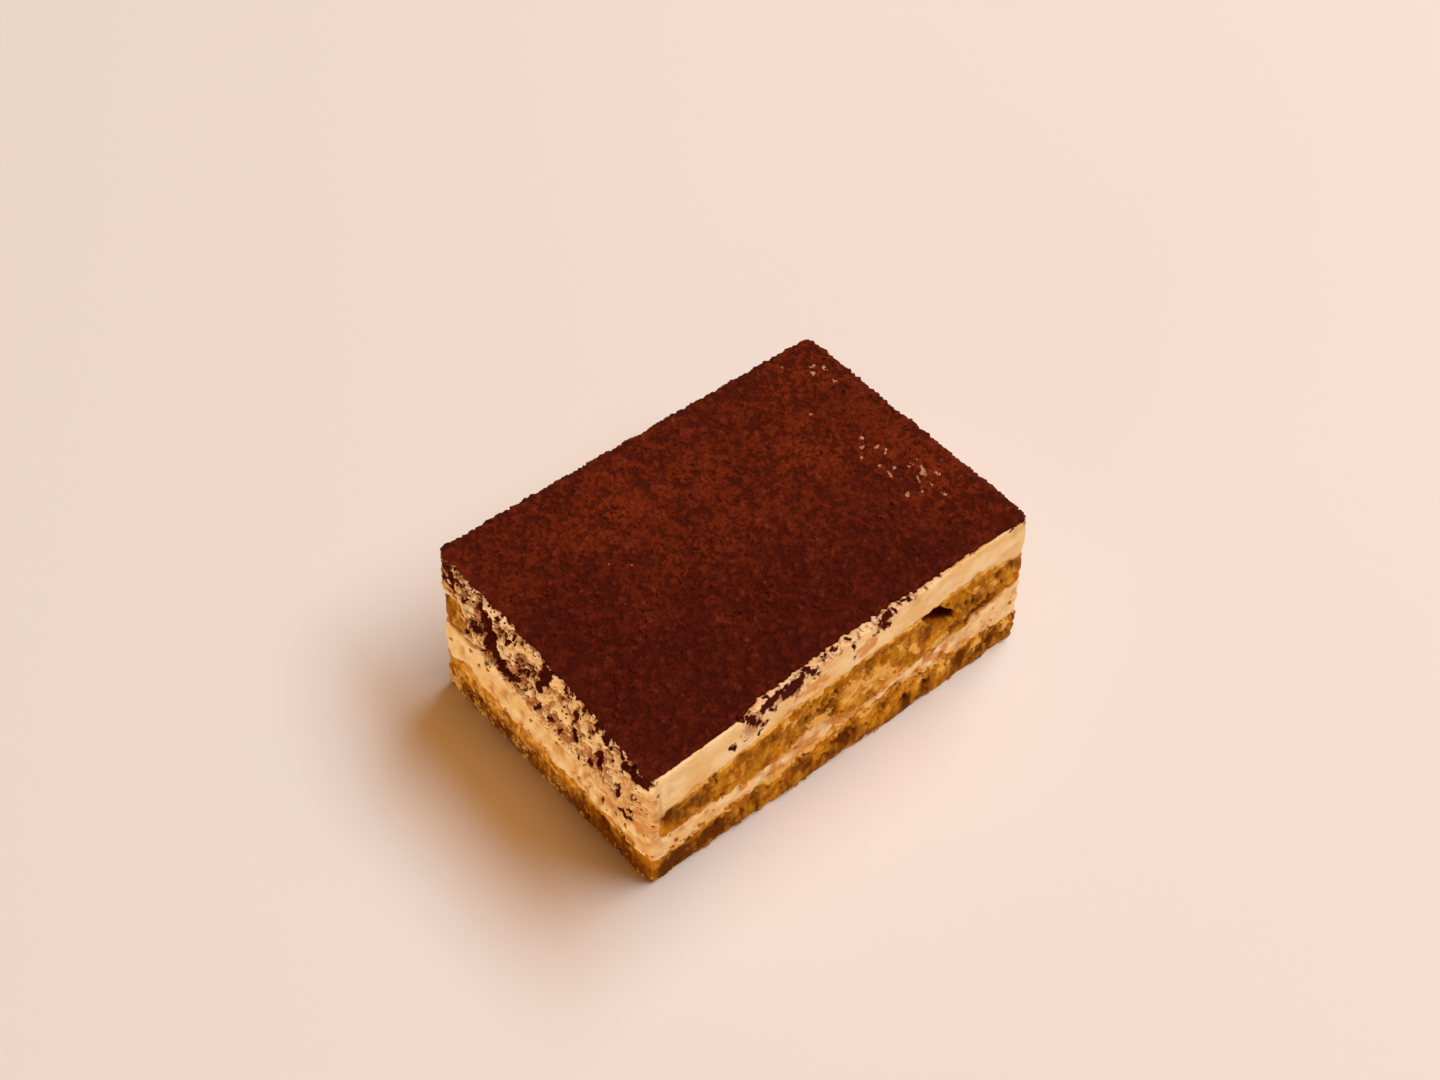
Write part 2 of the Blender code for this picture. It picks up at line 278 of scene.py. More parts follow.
# The streaks on the torn short side, by their place along it from back to front.
SIDE_STREAKS = (
    (-28.2, 37.6, 1.0, 3.4, -0.3, 1.2),
    (-30.6, 35.6, 0.7, 2.2, -0.3, 0.9),
    (-25.4, 38.0, 1.9, 0.9, 0.5, 0.9),
    (-21.4, 40.2, 2.2, 0.7, 0.3, 0.8),
    (-23.4, 34.0, 0.8, 2.4, 0.6, 0.9),
    (-26.4, 30.2, 0.8, 1.6, 0.4, 0.8),
    (-17.0, 35.6, 2.2, 2.4, -0.3, 1.3),
    (-15.6, 31.2, 1.9, 3.4, -0.2, 1.35),
    (-14.6, 26.6, 2.6, 3.0, -0.3, 1.35),
    (-11.4, 23.9, 3.4, 1.7, 0.5, 1.35),
    (-7.0, 26.4, 1.8, 1.2, 0.8, 1.15),
    (-20.6, 28.6, 2.1, 2.0, 0.5, 1.05),
    (-24.8, 24.8, 2.2, 1.6, 0.5, 0.95),
    (-29.6, 22.0, 2.0, 1.2, 0.5, 0.8),
    (-26.0, 21.8, 1.2, 0.9, 0.3, 0.8),
    (-18.6, 23.4, 1.4, 1.0, 0.4, 0.9),
    (-18.0, 20.0, 0.9, 1.6, 0.5, 0.75),
    (-4.4, 31.6, 1.2, 2.0, 0.2, 1.2),
    (-9.2, 35.6, 1.1, 1.5, 0.3, 0.95),
    (-7.0, 38.8, 0.7, 1.3, 0.4, 0.8),
    (-12.4, 39.4, 0.8, 1.4, 0.4, 0.85),
    (-3.0, 27.4, 0.6, 2.2, 0.5, 0.8),
    (-1.2, 23.6, 0.7, 1.6, 0.5, 0.75),
    (2.2, 36.6, 1.5, 5.0, 0.3, 1.25),
    (4.6, 39.4, 1.0, 2.4, 0.2, 1.05),
    (0.6, 31.2, 1.3, 1.5, 0.3, 1.05),
    (2.8, 24.0, 1.1, 1.1, 0.0, 0.95),
    (7.2, 28.4, 0.6, 2.2, 0.4, 0.8),
    (5.6, 22.4, 0.6, 1.5, 0.4, 0.7),
    (10.9, 27.2, 1.0, 1.9, 0.1, 1.1),
    (11.4, 33.6, 0.8, 3.6, 0.3, 1.1),
    (9.2, 38.8, 1.1, 2.2, 0.1, 1.05),
    (12.0, 22.2, 0.5, 1.8, 0.3, 0.7),
    (14.4, 38.6, 0.8, 1.7, 0.1, 0.9),
    (16.2, 33.2, 0.5, 2.2, 0.2, 0.75),
    (18.6, 38.0, 1.1, 2.4, 0.2, 1.05),
    (18.2, 27.2, 1.3, 3.2, 0.12, 1.4),
    (21.6, 37.4, 1.1, 2.8, -0.2, 1.15),
    (24.6, 36.8, 1.1, 2.0, -0.2, 1.05),
    (23.2, 23.4, 0.9, 3.2, 0.25, 1.0),
    (15.4, 24.0, 0.8, 1.8, 0.3, 0.85),
    (26.6, 35.0, 1.4, 1.8, -0.3, 1.1),
    (29.0, 35.2, 1.7, 2.2, 0.2, 1.2),
    (31.6, 35.4, 1.5, 2.4, 0.4, 1.2),
    (24.4, 31.0, 0.5, 1.6, 0.3, 0.75),
    (27.6, 26.0, 1.5, 1.0, 0.3, 0.62),
    (27.0, 20.6, 2.0, 0.9, 0.5, 0.8),
    (25.0, 17.6, 2.8, 0.8, 0.7, 0.95),
    (22.4, 14.6, 1.2, 0.7, 0.5, 0.7),
    (18.0, 14.4, 0.8, 2.2, 0.2, 0.9),
    (10.6, 13.2, 0.6, 1.4, 0.3, 0.7),
    (-12.0, 13.8, 3.0, 0.8, 0.1, 0.55),
)
# Where the torn side caves in: along the side, height, half length, half height, slant, depth.
SIDE_HOLLOWS = (
    (-17.0, 35.4, 1.8, 2.0, -0.3, 1.0),
    (-15.6, 31.0, 1.9, 4.0, -0.2, 1.6),
    (-13.4, 25.4, 3.0, 2.8, -0.3, 1.9),
    (-10.2, 23.8, 2.8, 1.4, 0.5, 1.4),
    (-21.0, 28.2, 1.9, 2.2, 0.4, 1.0),
    (18.2, 27.2, 1.3, 3.0, 0.1, 1.3),
    (2.2, 35.6, 1.3, 4.8, 0.3, 0.9),
    (-28.0, 37.4, 1.0, 3.0, -0.3, 0.9),
    (-4.4, 31.4, 1.1, 1.8, 0.2, 0.9),
    (11.0, 27.4, 0.9, 1.8, 0.2, 0.7),
    (11.4, 33.6, 0.7, 3.2, 0.3, 0.6),
)
# Smears of cream and coffee over that side.
SIDE_WASHES = (
    (-8.0, 28.2, 2.4, 2.4, 0.5, 1.1),
    (-18.0, 27.0, 8.0, 7.0, 0.3, 0.7),
    (-20.0, 35.0, 9.0, 5.0, 0.0, 0.6),
    (-2.0, 24.0, 9.0, 4.0, 0.0, 1.0),
    (8.0, 22.0, 5.0, 3.0, 0.3, 0.9),
    (21.0, 26.0, 3.6, 3.4, 0.0, 0.8),
    (-24.0, 22.0, 6.0, 3.4, 0.2, 0.9),
    (3.0, 36.0, 4.0, 6.0, 0.3, 0.5),
    (15.0, 24.0, 8.0, 5.0, 0.1, 0.62),
    (27.0, 19.0, 4.0, 2.6, 0.5, 0.6),
    (22.0, 37.0, 9.0, 3.0, 0.0, 0.5),
    (10.0, 29.0, 4.0, 6.0, 0.3, 0.5),
    (28.6, 25.6, 2.6, 1.4, 0.3, 0.7),
    (-14.0, 13.6, 4.0, 1.2, 0.1, 0.5),
)
# Dark, wet spots of the lower sponge on that side.
SIDE_WET = (
    (18.0, 5.2, 1.6, 2.6, 0.2, 1.3),
    (11.2, 3.6, 1.6, 2.2, 0.3, 0.9),
    (24.4, 8.0, 1.8, 1.2, 0.0, 0.9),
    (22.0, 3.0, 6.0, 3.0, 0.3, 0.6),
    (-6.6, 3.0, 2.0, 2.0, 0.4, 1.0),
    (-15.0, 1.8, 1.8, 1.8, 0.4, 0.8),
    (-25.0, 1.4, 2.4, 1.8, 0.4, 0.9),
    (4.4, 1.2, 2.2, 1.6, 0.3, 0.7),
)
# Where the cocoa lies thin, and where the cream shows through it: along, across, half length, half
# width, slant, strength.
THIN_COCOA = (
    (-14.0, 20.0, 10.0, 6.0, 0.0, 0.6),
    (25.0, 9.0, 7.0, 8.0, 0.0, 0.6),
    (36.0, 25.0, 10.0, 6.0, 0.0, 0.55),
    (2.0, 17.0, 10.0, 6.0, 0.0, 0.2),
    (12.0, 27.0, 8.0, 4.0, 0.0, 0.2),
    (-30.0, 22.0, 8.0, 5.0, 0.0, 0.2),
    (-11.0, 2.0, 8.0, 6.0, 0.0, 0.45),
    (40.0, -12.0, 7.0, 14.0, 0.0, 0.5),
    (4.0, 2.0, 12.0, 6.0, 0.0, 0.2),
)
BARE_COCOA = (
    (36.4, 3.5, 0.8, 0.5, -0.6, 0.85),
    (34.8, 1.7, 0.8, 0.5, -0.6, 0.9),
    (32.8, -0.3, 0.5, 0.5, 0.0, 0.7),
    (37.4, -0.2, 0.6, 0.5, 0.0, 0.75),
    (37.6, -2.4, 0.5, 0.9, 0.3, 0.85),
    (34.4, -4.3, 0.5, 0.8, 0.3, 0.8),
    (34.4, -7.2, 0.45, 1.5, 0.2, 0.8),
    (36.4, -6.4, 0.5, 0.4, 0.0, 0.8),
    (39.0, -7.9, 0.9, 0.6, -0.4, 0.95),
    (41.2, -7.6, 0.5, 0.4, 0.0, 0.8),
    (39.8, -10.8, 0.6, 1.4, 0.4, 1.0),
    (37.8, -11.8, 0.4, 0.9, 0.4, 0.7),
    (33.4, -13.2, 0.7, 0.8, 0.3, 0.85),
    (36.0, -14.8, 0.8, 0.5, 0.0, 0.75),
    (41.6, -13.0, 0.5, 0.7, 0.2, 0.75),
    (38.8, -14.4, 0.4, 0.8, 0.3, 0.7),
    (39.0, -17.6, 0.6, 0.9, 0.3, 0.75),
    (44.6, -11.0, 0.5, 0.5, 0.0, 0.65),
    (41.2, 23.6, 0.7, 0.8, 0.3, 0.75),
    (42.6, 25.2, 0.9, 0.6, -0.4, 0.85),
    (44.2, 23.4, 0.6, 1.0, 0.4, 0.85),
    (43.2, 19.0, 0.5, 0.6, 0.0, 0.7),
    (33.2, 15.2, 0.6, 0.4, 0.0, 0.7),
    (37.4, 29.0, 0.7, 0.5, 0.0, 0.6),
    (-19.6, 7.2, 0.4, 0.35, 0.0, 0.65),
    (-22.8, 10.0, 0.8, 0.35, 0.0, 0.6),
)


# ---------------------------------------------------------------- shape of the whole


def smooth_step(value, start, end):
    """0 before start, 1 after end, smooth in between."""
    share = min(1.0, max(0.0, (value - start) / (end - start)))
    return share * share * (3 - 2 * share)


def along_stations(stations, where):
    """The level at a place along a side, smooth between the stations."""
    for (start, low), (end, high) in zip(stations, stations[1:]):
        if where <= end:
            return low + (high - low) * smooth_step(where, start, end)
    return stations[-1][1]


def between_corners(offsets, along, across, axis):
    """The offset at a place in plan, from the offsets of the four corners."""
    front = offsets["front_left"][axis] * (1 - along) + offsets["front_right"][axis] * along
    back = offsets["back_left"][axis] * (1 - along) + offsets["back_right"][axis] * along
    return front * (1 - across) + back * across


def height_at(along, across):
    return HEIGHT + between_corners(TOP_OFF, along, across, 2)


def plan_noise(along, across, size, seed):
    """Noise over the plan, with features of that size in millimetres."""
    return noise.noise(Vector((along * LENGTH / MM / size, across * DEPTH / MM / size, seed)))


def level(name, along, across):
    """Share of the height at which a layer ends: plain inside, uneven near the shown sides."""
    near_front = math.exp(-((across * DEPTH / SIDE_REACH) ** 2))
    near_side = math.exp(-((along * LENGTH / SIDE_REACH) ** 2)) * (1 - near_front)
    front = along_stations(FRONT_LEVELS[name], along)
    side = along_stations(SIDE_LEVELS[name], across)
    plain = PLAIN_LEVEL[name]
    wavy = 0.020 * plan_noise(along, across, 4.5, len(name)) + 0.018 * plan_noise(along, across, 1.5, 7.0)
    return plain + (front - plain) * near_front + (side - plain) * near_side + wavy


def lower_sponge_top(along, across):
    return level("lower_sponge", along, across)


def middle_cream_top(along, across):
    return max(lower_sponge_top(along, across) + LEAST_LAYER, level("middle_cream", along, across))


def upper_sponge_top(along, across):
    return level("upper_sponge", along, across)


def cream_rim(along, across):
    return 1 - COCOA_THICKNESS * 0.6 / height_at(along, across)


def place(along, across, share):
    """The point of the portion at these shares of its length, depth and height."""
    x = (along - 0.5) * LENGTH
    y = (across - 0.5) * DEPTH
    x += between_corners(BASE_OFF, along, across, 0) * (1 - share)
    x += between_corners(TOP_OFF, along, across, 0) * share
    y += between_corners(BASE_OFF, along, across, 1) * (1 - share)
    y += between_corners(TOP_OFF, along, across, 1) * share
    worn = WORN_BACK * smooth_step(share, 0.5, 1.0) * 4 * across * (1 - across)
    x += worn * max(0.0, 1 - 4 * along)
    to_end = min(along, 1 - along) * LENGTH
    to_side = min(across, 1 - across) * DEPTH
    ease = CORNER_EASE * math.exp(-(to_end + to_side) / CORNER_REACH)
    x += math.copysign(ease, 0.5 - along)
    y += math.copysign(ease, 0.5 - across)
    return Vector((x, y, share * height_at(along, across))) + MIDDLE


def marked(marks, sideways, up):
    """How strongly the marks of a table cover a spot of a face, in millimetres."""
    strongest = 0.0
    for at, height, half_length, half_height, slant, strength in marks:
        rise = up - height
        if abs(rise) > 2.5 * half_height:
            continue
        run = sideways - at - rise * slant
        spread = (run / half_length) ** 2 + (rise / half_height) ** 2
        if spread < 6:
            strongest = max(strongest, strength * math.exp(-spread))
    return strongest


def on_short_side(spot):
    """Where a spot falls on an upright plane at the short side, slid along the stage camera's sight:
    millimetres along from the back to the front, and up."""
    recess = spot.x + (LENGTH / 2 - MIDDLE.x) / MM
    along, up = SHORT_SIDE_SLIDE
    return MIDDLE.y / MM - spot.y + along * recess, spot.z + up * recess


def on_long_side(spot):
    """The same for the long side: millimetres along from the left to the right, and up."""
    recess = spot.y + (DEPTH / 2 - MIDDLE.y) / MM
    along, up = LONG_SIDE_SLIDE
    return spot.x - MIDDLE.x / MM - along * recess, spot.z + up * recess


def frayed(spot, size, reach):
    """The spot moved about at random, which frays the outline of a mark that is looked up there."""
    fine = noise.noise_vector(spot / (size * 0.4)) * reach * 0.5
    return spot + noise.noise_vector(spot / size) * reach + fine


# ---------------------------------------------------------------- meshes


def new_corners(made):
    """The new vertices of an extrusion, and the new edges that join only those."""
    corners = [part for part in made["geom"] if isinstance(part, bmesh.types.BMVert)]
    known = set(corners)
    edges = [part for part in made["geom"] if isinstance(part, bmesh.types.BMEdge)]
    return corners, [edge for edge in edges if set(edge.verts) <= known]


def close_with_grid(shape, loop, columns, rows, size, matrix):
    """Closes an open loop of edges with a coarse grid inside it."""
    cap = bmesh.ops.create_grid(shape, x_segments=columns, y_segments=rows, size=size, matrix=matrix)
    rim = [edge for corner in cap["verts"] for edge in corner.link_edges if edge.is_boundary]
    bmesh.ops.bridge_loops(shape, edges=loop + list(dict.fromkeys(rim)))


def unit_shell(cell, height, top_insets, bottom_insets, length=LENGTH):
    """A unit box with finely divided sides, rings of cells round its top and its bottom, and coarse
    caps inside those rings. Insets are in metres from the edge."""
    shape = bmesh.new()
    bmesh.ops.create_cube(shape, size=1.0, matrix=Matrix.Translation((0.5, 0.5, 0.5)))
    shape.normal_update()
    caps = [face for face in shape.faces if abs(face.normal.z) > 0.5]
    bmesh.ops.delete(shape, geom=caps, context="FACES_ONLY")
    for axis, size in enumerate((length, DEPTH, height)):
        cells = max(2, round(size / cell))
        edges = [e for e in shape.edges if abs(e.verts[0].co[axis] - e.verts[1].co[axis]) > 0.5]
        bmesh.ops.subdivide_edges(shape, edges=edges, cuts=cells - 1, use_grid_fill=True)
    centre = Matrix.Translation((-0.5, -0.5, 0.0))
    for floor, insets in ((0.0, bottom_insets), (1.0, top_insets)):
        loop = [
            edge
            for edge in shape.edges
            if edge.is_boundary and all(abs(corner.co.z - floor) < 1e-6 for corner in edge.verts)
        ]
        before = 0.0
        for inset in insets:
            corners, loop = new_corners(bmesh.ops.extrude_edge_only(shape, edges=loop))
            shrink = [(1 - 2 * inset / size) / (1 - 2 * before / size) for size in (length, DEPTH)]
            bmesh.ops.scale(shape, vec=(*shrink, 1.0), space=centre, verts=corners)
            before = inset
        turn = Matrix.Rotation(math.pi if floor < 0.5 else 0.0, 4, "X")
        inner = [1 - 2 * (before + CAP_GAP) / size for size in (length, DEPTH)]
        matrix = Matrix.Translation((0.5, 0.5, floor)) @ turn @ Matrix.Diagonal((*inner, 1.0, 1.0))
        close_with_grid(shape, loop, max(8, round(length / CAP_CELL)), CAP_ROWS, 0.5, matrix)
    bmesh.ops.recalc_face_normals(shape, faces=shape.faces)
    return shape


def add_marks(shape, *names):
    """Adds a value for each name to every vertex, and gives the layers that hold them by name."""
    return SimpleNamespace(**{name: shape.verts.layers.float.new(name) for name in names})


def finish_piece(name, shape, material, slot, *nodes):
    """Makes a piece of a bmesh, which rides on the part's body and stands for its solids."""
    mesh = bpy.data.meshes.new(name)
    shape.to_mesh(mesh)
    shape.free()
    mesh.shade_smooth()
    mesh.materials.append(material)
    piece = bpy.data.objects.new(name, mesh)
    bpy.context.scene.collection.objects.link(piece)
    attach(piece, BODY)
    if nodes:
        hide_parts(*nodes)


def crumb(spot):
    """How deep (0 to 1) the crumb's pores go at a spot in millimetres, and its lumps (-1 to 1)."""
    upright = Vector((spot.x, spot.y, spot.z * 0.62))
    bent = upright + noise.noise_vector(upright * 0.45) * 1.3 + noise.noise_vector(upright * 1.4) * 0.45
    far, points = noise.voronoi(bent / LARGE_PORE)
    chosen = noise.cell(points[0] * 7.3)
    large = smooth_step(far[1] - far[0], 0.05, 0.45) * smooth_step(chosen, -0.1, 0.7)
    far, points = noise.voronoi(bent / SMALL_PORE + Vector((9.0, 2.0, 5.0)))
    chosen = noise.cell(points[0] * 5.1)
    small = smooth_step(far[1] - far[0], 0.05, 0.5) * smooth_step(chosen, -0.3, 0.6)
    lumps = noise.fractal(upright / 3.4, 1.0, 2.0, 3)
    return min(1.0, 0.85 * large + 0.30 * small), lumps


def lay(shape, bottom, top, end=None):
    """Lays a unit shell between two levels of the portion, up to its end where one is given. Returns each
    vertex's place along and across, and its share between the levels."""
    stations = []
    known = {}
    for vertex in shape.verts:
        along, across, share = vertex.co
        if end:
            along = end(along, across, share)
        spot = (round(along, 6), round(across, 6))
        if spot not in known:
            known[spot] = (bottom(along, across), top(along, across))
        low, high = known[spot]
        vertex.co = place(along, across, low + (high - low) * share)
        stations.append((along, across, share))
    shape.normal_update()
    return stations


# ---------------------------------------------------------------- materials


def srgb(red, green, blue):
    """A colour given in 8-bit values, as linear light."""
    parts = []
    for part in (red, green, blue):
        part /= 255
        parts.append(part / 12.92 if part <= 0.04045 else ((part + 0.055) / 1.055) ** 2.4)
    return (*parts, 1.0)


def add_node(tree, kind, inputs=None, **settings):
    """Adds a node, with its settings, and its inputs given as values or as sockets to link."""
    made = tree.nodes.new(kind)
    for key, value in settings.items():
        setattr(made, key, value)
    for key, value in (inputs or {}).items():
        if isinstance(value, bpy.types.NodeSocket):
            tree.links.new(value, made.inputs[key])
        else:
            made.inputs[key].default_value = value
    return made


def mix_colour(tree, factor, first, second, blend="MIX"):
    inputs = {0: factor, 6: first, 7: second}
    return add_node(tree, "ShaderNodeMix", inputs, data_type="RGBA", blend_type=blend).outputs[2]


def overlay(tree, colour, mask, strength, over):
    """Lays a colour over another where a mask says, up to that strength."""
    return mix_colour(tree, calculate(tree, "MULTIPLY", mask, strength), colour, over)


def calculate(tree, operation, first, second=0.0, third=0.0, clamp=False):
    inputs = {0: first, 1: second, 2: third}
    return add_node(tree, "ShaderNodeMath", inputs, operation=operation, use_clamp=clamp).outputs[0]


def span(tree, value, low, high, to_low=0.0, to_high=1.0):
    """Smoothly maps a value's span onto another."""
    inputs = {"Value": value, "From Min": low, "From Max": high, "To Min": to_low, "To Max": to_high}
    made = add_node(tree, "ShaderNodeMapRange", inputs, interpolation_type="SMOOTHSTEP")
    return made.outputs["Result"]


def attribute(tree, name):
    return add_node(tree, "ShaderNodeAttribute", attribute_name=name).outputs["Fac"]


def start_group(name, ins, outs):
    """A shader node group with its sockets, and its input and output nodes."""
    group = bpy.data.node_groups.new(name, "ShaderNodeTree")
    for socket, default in ins:
        made = group.interface.new_socket(socket, in_out="INPUT", socket_type="NodeSocketFloat")
        made.default_value = default
    for socket in outs:
        group.interface.new_socket(socket, in_out="OUTPUT", socket_type="NodeSocketFloat")
    return group, group.nodes.new("NodeGroupInput"), group.nodes.new("NodeGroupOutput")


def speckle_group():
    """Fine grain and soft blotches over a surface, at a given size."""
    known = bpy.data.node_groups.get("speckle")
    if known:
        return known
    ins = (("Grain Size", 0.5), ("Blotch Size", 6.0), ("Stretch", 1.0))
    group, given, out = start_group("speckle", ins, ("Grain", "Blotch", "Height"))
    where = add_node(group, "ShaderNodeTexCoord").outputs["Object"]
    stretched = add_node(group, "ShaderNodeCombineXYZ", {0: 1.0, 1: 1.0, 2: given.outputs["Stretch"]})
    inputs = {0: where, 1: stretched.outputs[0]}
    place_in = add_node(group, "ShaderNodeVectorMath", inputs, operation="MULTIPLY").outputs[0]
    grain_scale = calculate(group, "DIVIDE", 1000.0, given.outputs["Grain Size"])
    blotch_scale = calculate(group, "DIVIDE", 1000.0, given.outputs["Blotch Size"])
    inputs = {"Vector": place_in, "Scale": grain_scale, "Detail": 3.0, "Roughness": 0.6}
    grain = add_node(group, "ShaderNodeTexNoise", inputs).outputs["Fac"]
    inputs = {"Vector": place_in, "Scale": blotch_scale, "Detail": 4.0, "Roughness": 0.55}
    blotch = add_node(group, "ShaderNodeTexNoise", inputs).outputs["Fac"]
    group.links.new(span(group, grain, 0.3, 0.7), out.inputs["Grain"])
    group.links.new(span(group, blotch, 0.35, 0.65), out.inputs["Blotch"])
    group.links.new(grain, out.inputs["Height"])
    return group


def smear_group():
    """Breaks the soft edge of a smear into streaks and flecks."""
    known = bpy.data.node_groups.get("smear")
    if known:
        return known
    ins = (("Amount", 0.0), ("Fleck Size", 0.5), ("Raggedness", 0.4), ("Flatness", 1.0))
    group, given, out = start_group("smear", ins, ("Mask",))
    where = add_node(group, "ShaderNodeTexCoord").outputs["Object"]
    parts = add_node(group, "ShaderNodeSeparateXYZ", {0: where}).outputs
    leaning = {0: where, 1: (-0.3, -0.3, 1.0)}
    lean = add_node(group, "ShaderNodeVectorMath", leaning, operation="DOT_PRODUCT").outputs["Value"]
    lean = calculate(group, "MULTIPLY", lean, given.outputs["Flatness"])
    where = add_node(group, "ShaderNodeCombineXYZ", {0: parts[0], 1: parts[1], 2: lean}).outputs[0]
    scale = calculate(group, "DIVIDE", 1000.0, given.outputs["Fleck Size"])
    inputs = {"Vector": where, "Scale": scale, "Detail": 2.5, "Roughness": 0.6}
    flecks = add_node(group, "ShaderNodeTexNoise", inputs).outputs["Fac"]
    ragged = calculate(group, "MULTIPLY_ADD", flecks, given.outputs["Raggedness"], given.outputs["Amount"])
    half = calculate(group, "MULTIPLY", given.outputs["Raggedness"], 0.5)
    centred = calculate(group, "SUBTRACT", ragged, half)
    group.links.new(span(group, centred, 0.36, 0.58), out.inputs["Mask"])
    return group


def use_group(tree, group, **inputs):
    made = tree.nodes.new("ShaderNodeGroup")
    made.node_tree = group
    for key, value in inputs.items():
        socket = made.inputs[key.replace("_", " ")]
        if isinstance(value, bpy.types.NodeSocket):
            tree.links.new(value, socket)
        else:
            socket.default_value = value
    return made


def smeared(tree, mark, size, raggedness, flatness=1.0):
    """Mask of a mark that the mesh carries, broken into streaks and flecks."""
    inputs = {"Fleck_Size": size, "Raggedness": raggedness, "Flatness": flatness}
    return use_group(tree, smear_group(), Amount=attribute(tree, mark), **inputs).outputs["Mask"]


def start_material(name, roughness, specular):
    material = bpy.data.materials.new(name)
    material.use_nodes = True
    tree = material.node_tree
    shader = tree.nodes["Principled BSDF"]
    shader.inputs["Roughness"].default_value = roughness
    shader.inputs["Specular IOR Level"].default_value = specular
    return material, tree, shader


def raise_surface(tree, shader, height, distance):
    inputs = {"Height": height, "Distance": distance, "Strength": 1.0}
    tree.links.new(add_node(tree, "ShaderNodeBump", inputs).outputs[0], shader.inputs["Normal"])


def cocoa_material(look):
    """Loose cocoa: dark where thick, redder and lighter where thin; painted shade and sheen on its clumps."""
    known = bpy.data.materials.get("cocoa_powder")
    if known:
        return known
    material, tree, shader = start_material("cocoa_powder", 0.95, 0.1)
    speckle = use_group(tree, speckle_group(), Grain_Size=0.9, Blotch_Size=5.0)
    fine = use_group(tree, speckle_group(), Grain_Size=0.3, Blotch_Size=2.0)
    where = add_node(tree, "ShaderNodeTexCoord").outputs["Object"]
    parts = add_node(tree, "ShaderNodeSeparateXYZ", {0: where}).outputs
    # Lighter towards the back and the right: partly thinner cocoa, partly painted light from that side.
    slope = calculate(tree, "MULTIPLY_ADD", parts[0], 0.55, calculate(tree, "MULTIPLY", parts[1], 1.2))
    zone = span(tree, slope, -0.035, 0.022, 0.0, 0.55)
    zone = calculate(tree, "ADD", zone, attribute(tree, "thin"))
    zone = calculate(tree, "MULTIPLY_ADD", speckle.outputs["Blotch"], 0.3, zone)
    zone = calculate(tree, "SUBTRACT", zone, 0.15, clamp=True)
    thick, thin = look["cocoa_dark"], look["cocoa_light"]
    colour = mix_colour(tree, zone, thick, thin)
    # Painted shade: a darker copy of the cocoa in the gaps between clumps and in the fine grain's dips.
    gap_shade = tuple(part * 0.55 for part in thick[:3]) + (1.0,)
    crest = calculate(tree, "MULTIPLY_ADD", speckle.outputs["Height"], 0.9, attribute(tree, "crest"))
    crest = calculate(tree, "SUBTRACT", crest, 0.45)
    colour = mix_colour(tree, span(tree, crest, 0.46, 0.04, 0.0, 0.75), colour, gap_shade)
    colour = mix_colour(tree, span(tree, fine.outputs["Height"], 0.5, 0.38, 0.0, 0.35), colour, gap_shade)
    # Painted sheen: a pinkish highlight on the raised fine grain of the crests.
    fine_rise = span(tree, fine.outputs["Height"], 0.4, 0.62)
    crest_sheen = calculate(tree, "MULTIPLY", span(tree, crest, 0.45, 1.1), fine_rise)
    colour = overlay(tree, colour, crest_sheen, 0.6, look["cocoa_sheen"])
    colour = overlay(tree, colour, smeared(tree, "bare", 0.6, 0.7), 0.85, look["bare_cream"])
    tree.links.new(colour, shader.inputs["Base Color"])
    height = calculate(tree, "ADD", fine.outputs["Height"], speckle.outputs["Height"])
    raise_surface(tree, shader, height, 0.0004)
    return material


def cream_material(look):
    """Mascarpone cream: light in colour, softly blotched, stained by coffee near the sponge and by cocoa.
    It carries painted shade in its dips and a painted highlight along its rim and on its crests.
    """
    known = bpy.data.materials.get("mascarpone_cream")
    if known:
        return known
    material, tree, shader = start_material("mascarpone_cream", 0.45, 0.3)
    speckle = use_group(tree, speckle_group(), Grain_Size=0.8, Blotch_Size=7.0, Stretch=1.6)
    fine = use_group(tree, speckle_group(), Grain_Size=0.35, Blotch_Size=2.2)
    colour = mix_colour(tree, speckle.outputs["Blotch"], look["cream_light"], look["cream_deep"])
    # Painted shade in the cream's dips, and a golden tint of coffee, through one mark and one colour.
    hollow = attribute(tree, "hollow")
    colour = mix_colour(tree, span(tree, hollow, 0.1, 1.0, 0.0, 0.85), colour, look["cream_shade_and_tint"])
    colour = overlay(tree, colour, smeared(tree, "soak", 1.6, 0.7), 0.85, look["coffee"])
    colour = overlay(tree, colour, smeared(tree, "dust", 0.75, 0.95, 2.0), 0.75, look["dust"])
    # Painted highlight along the rim and on the crests.
    colour = overlay(tree, colour, smeared(tree, "pale", 0.7, 0.95, 2.2), 0.8, look["cream_highlight"])
    cocoa = smeared(tree, "cocoa", 0.7, 0.85, 2.0)
    powder = mix_colour(tree, fine.outputs["Grain"], look["cocoa_smear"], look["cocoa_dark"])
    colour = mix_colour(tree, cocoa, colour, powder)
    tree.links.new(colour, shader.inputs["Base Color"])
    rough = calculate(tree, "MULTIPLY_ADD", cocoa, 0.4, 0.45)
    tree.links.new(rough, shader.inputs["Roughness"])
    dull = calculate(tree, "MULTIPLY_ADD", cocoa, -0.26, 0.3)
    tree.links.new(dull, shader.inputs["Specular IOR Level"])
    height = calculate(tree, "MULTIPLY_ADD", fine.outputs["Height"], 0.4, speckle.outputs["Height"])
    grit = calculate(tree, "MULTIPLY", cocoa, fine.outputs["Grain"])
    height = calculate(tree, "MULTIPLY_ADD", grit, 0.6, height)
    raise_surface(tree, shader, height, 0.00025)
    return material


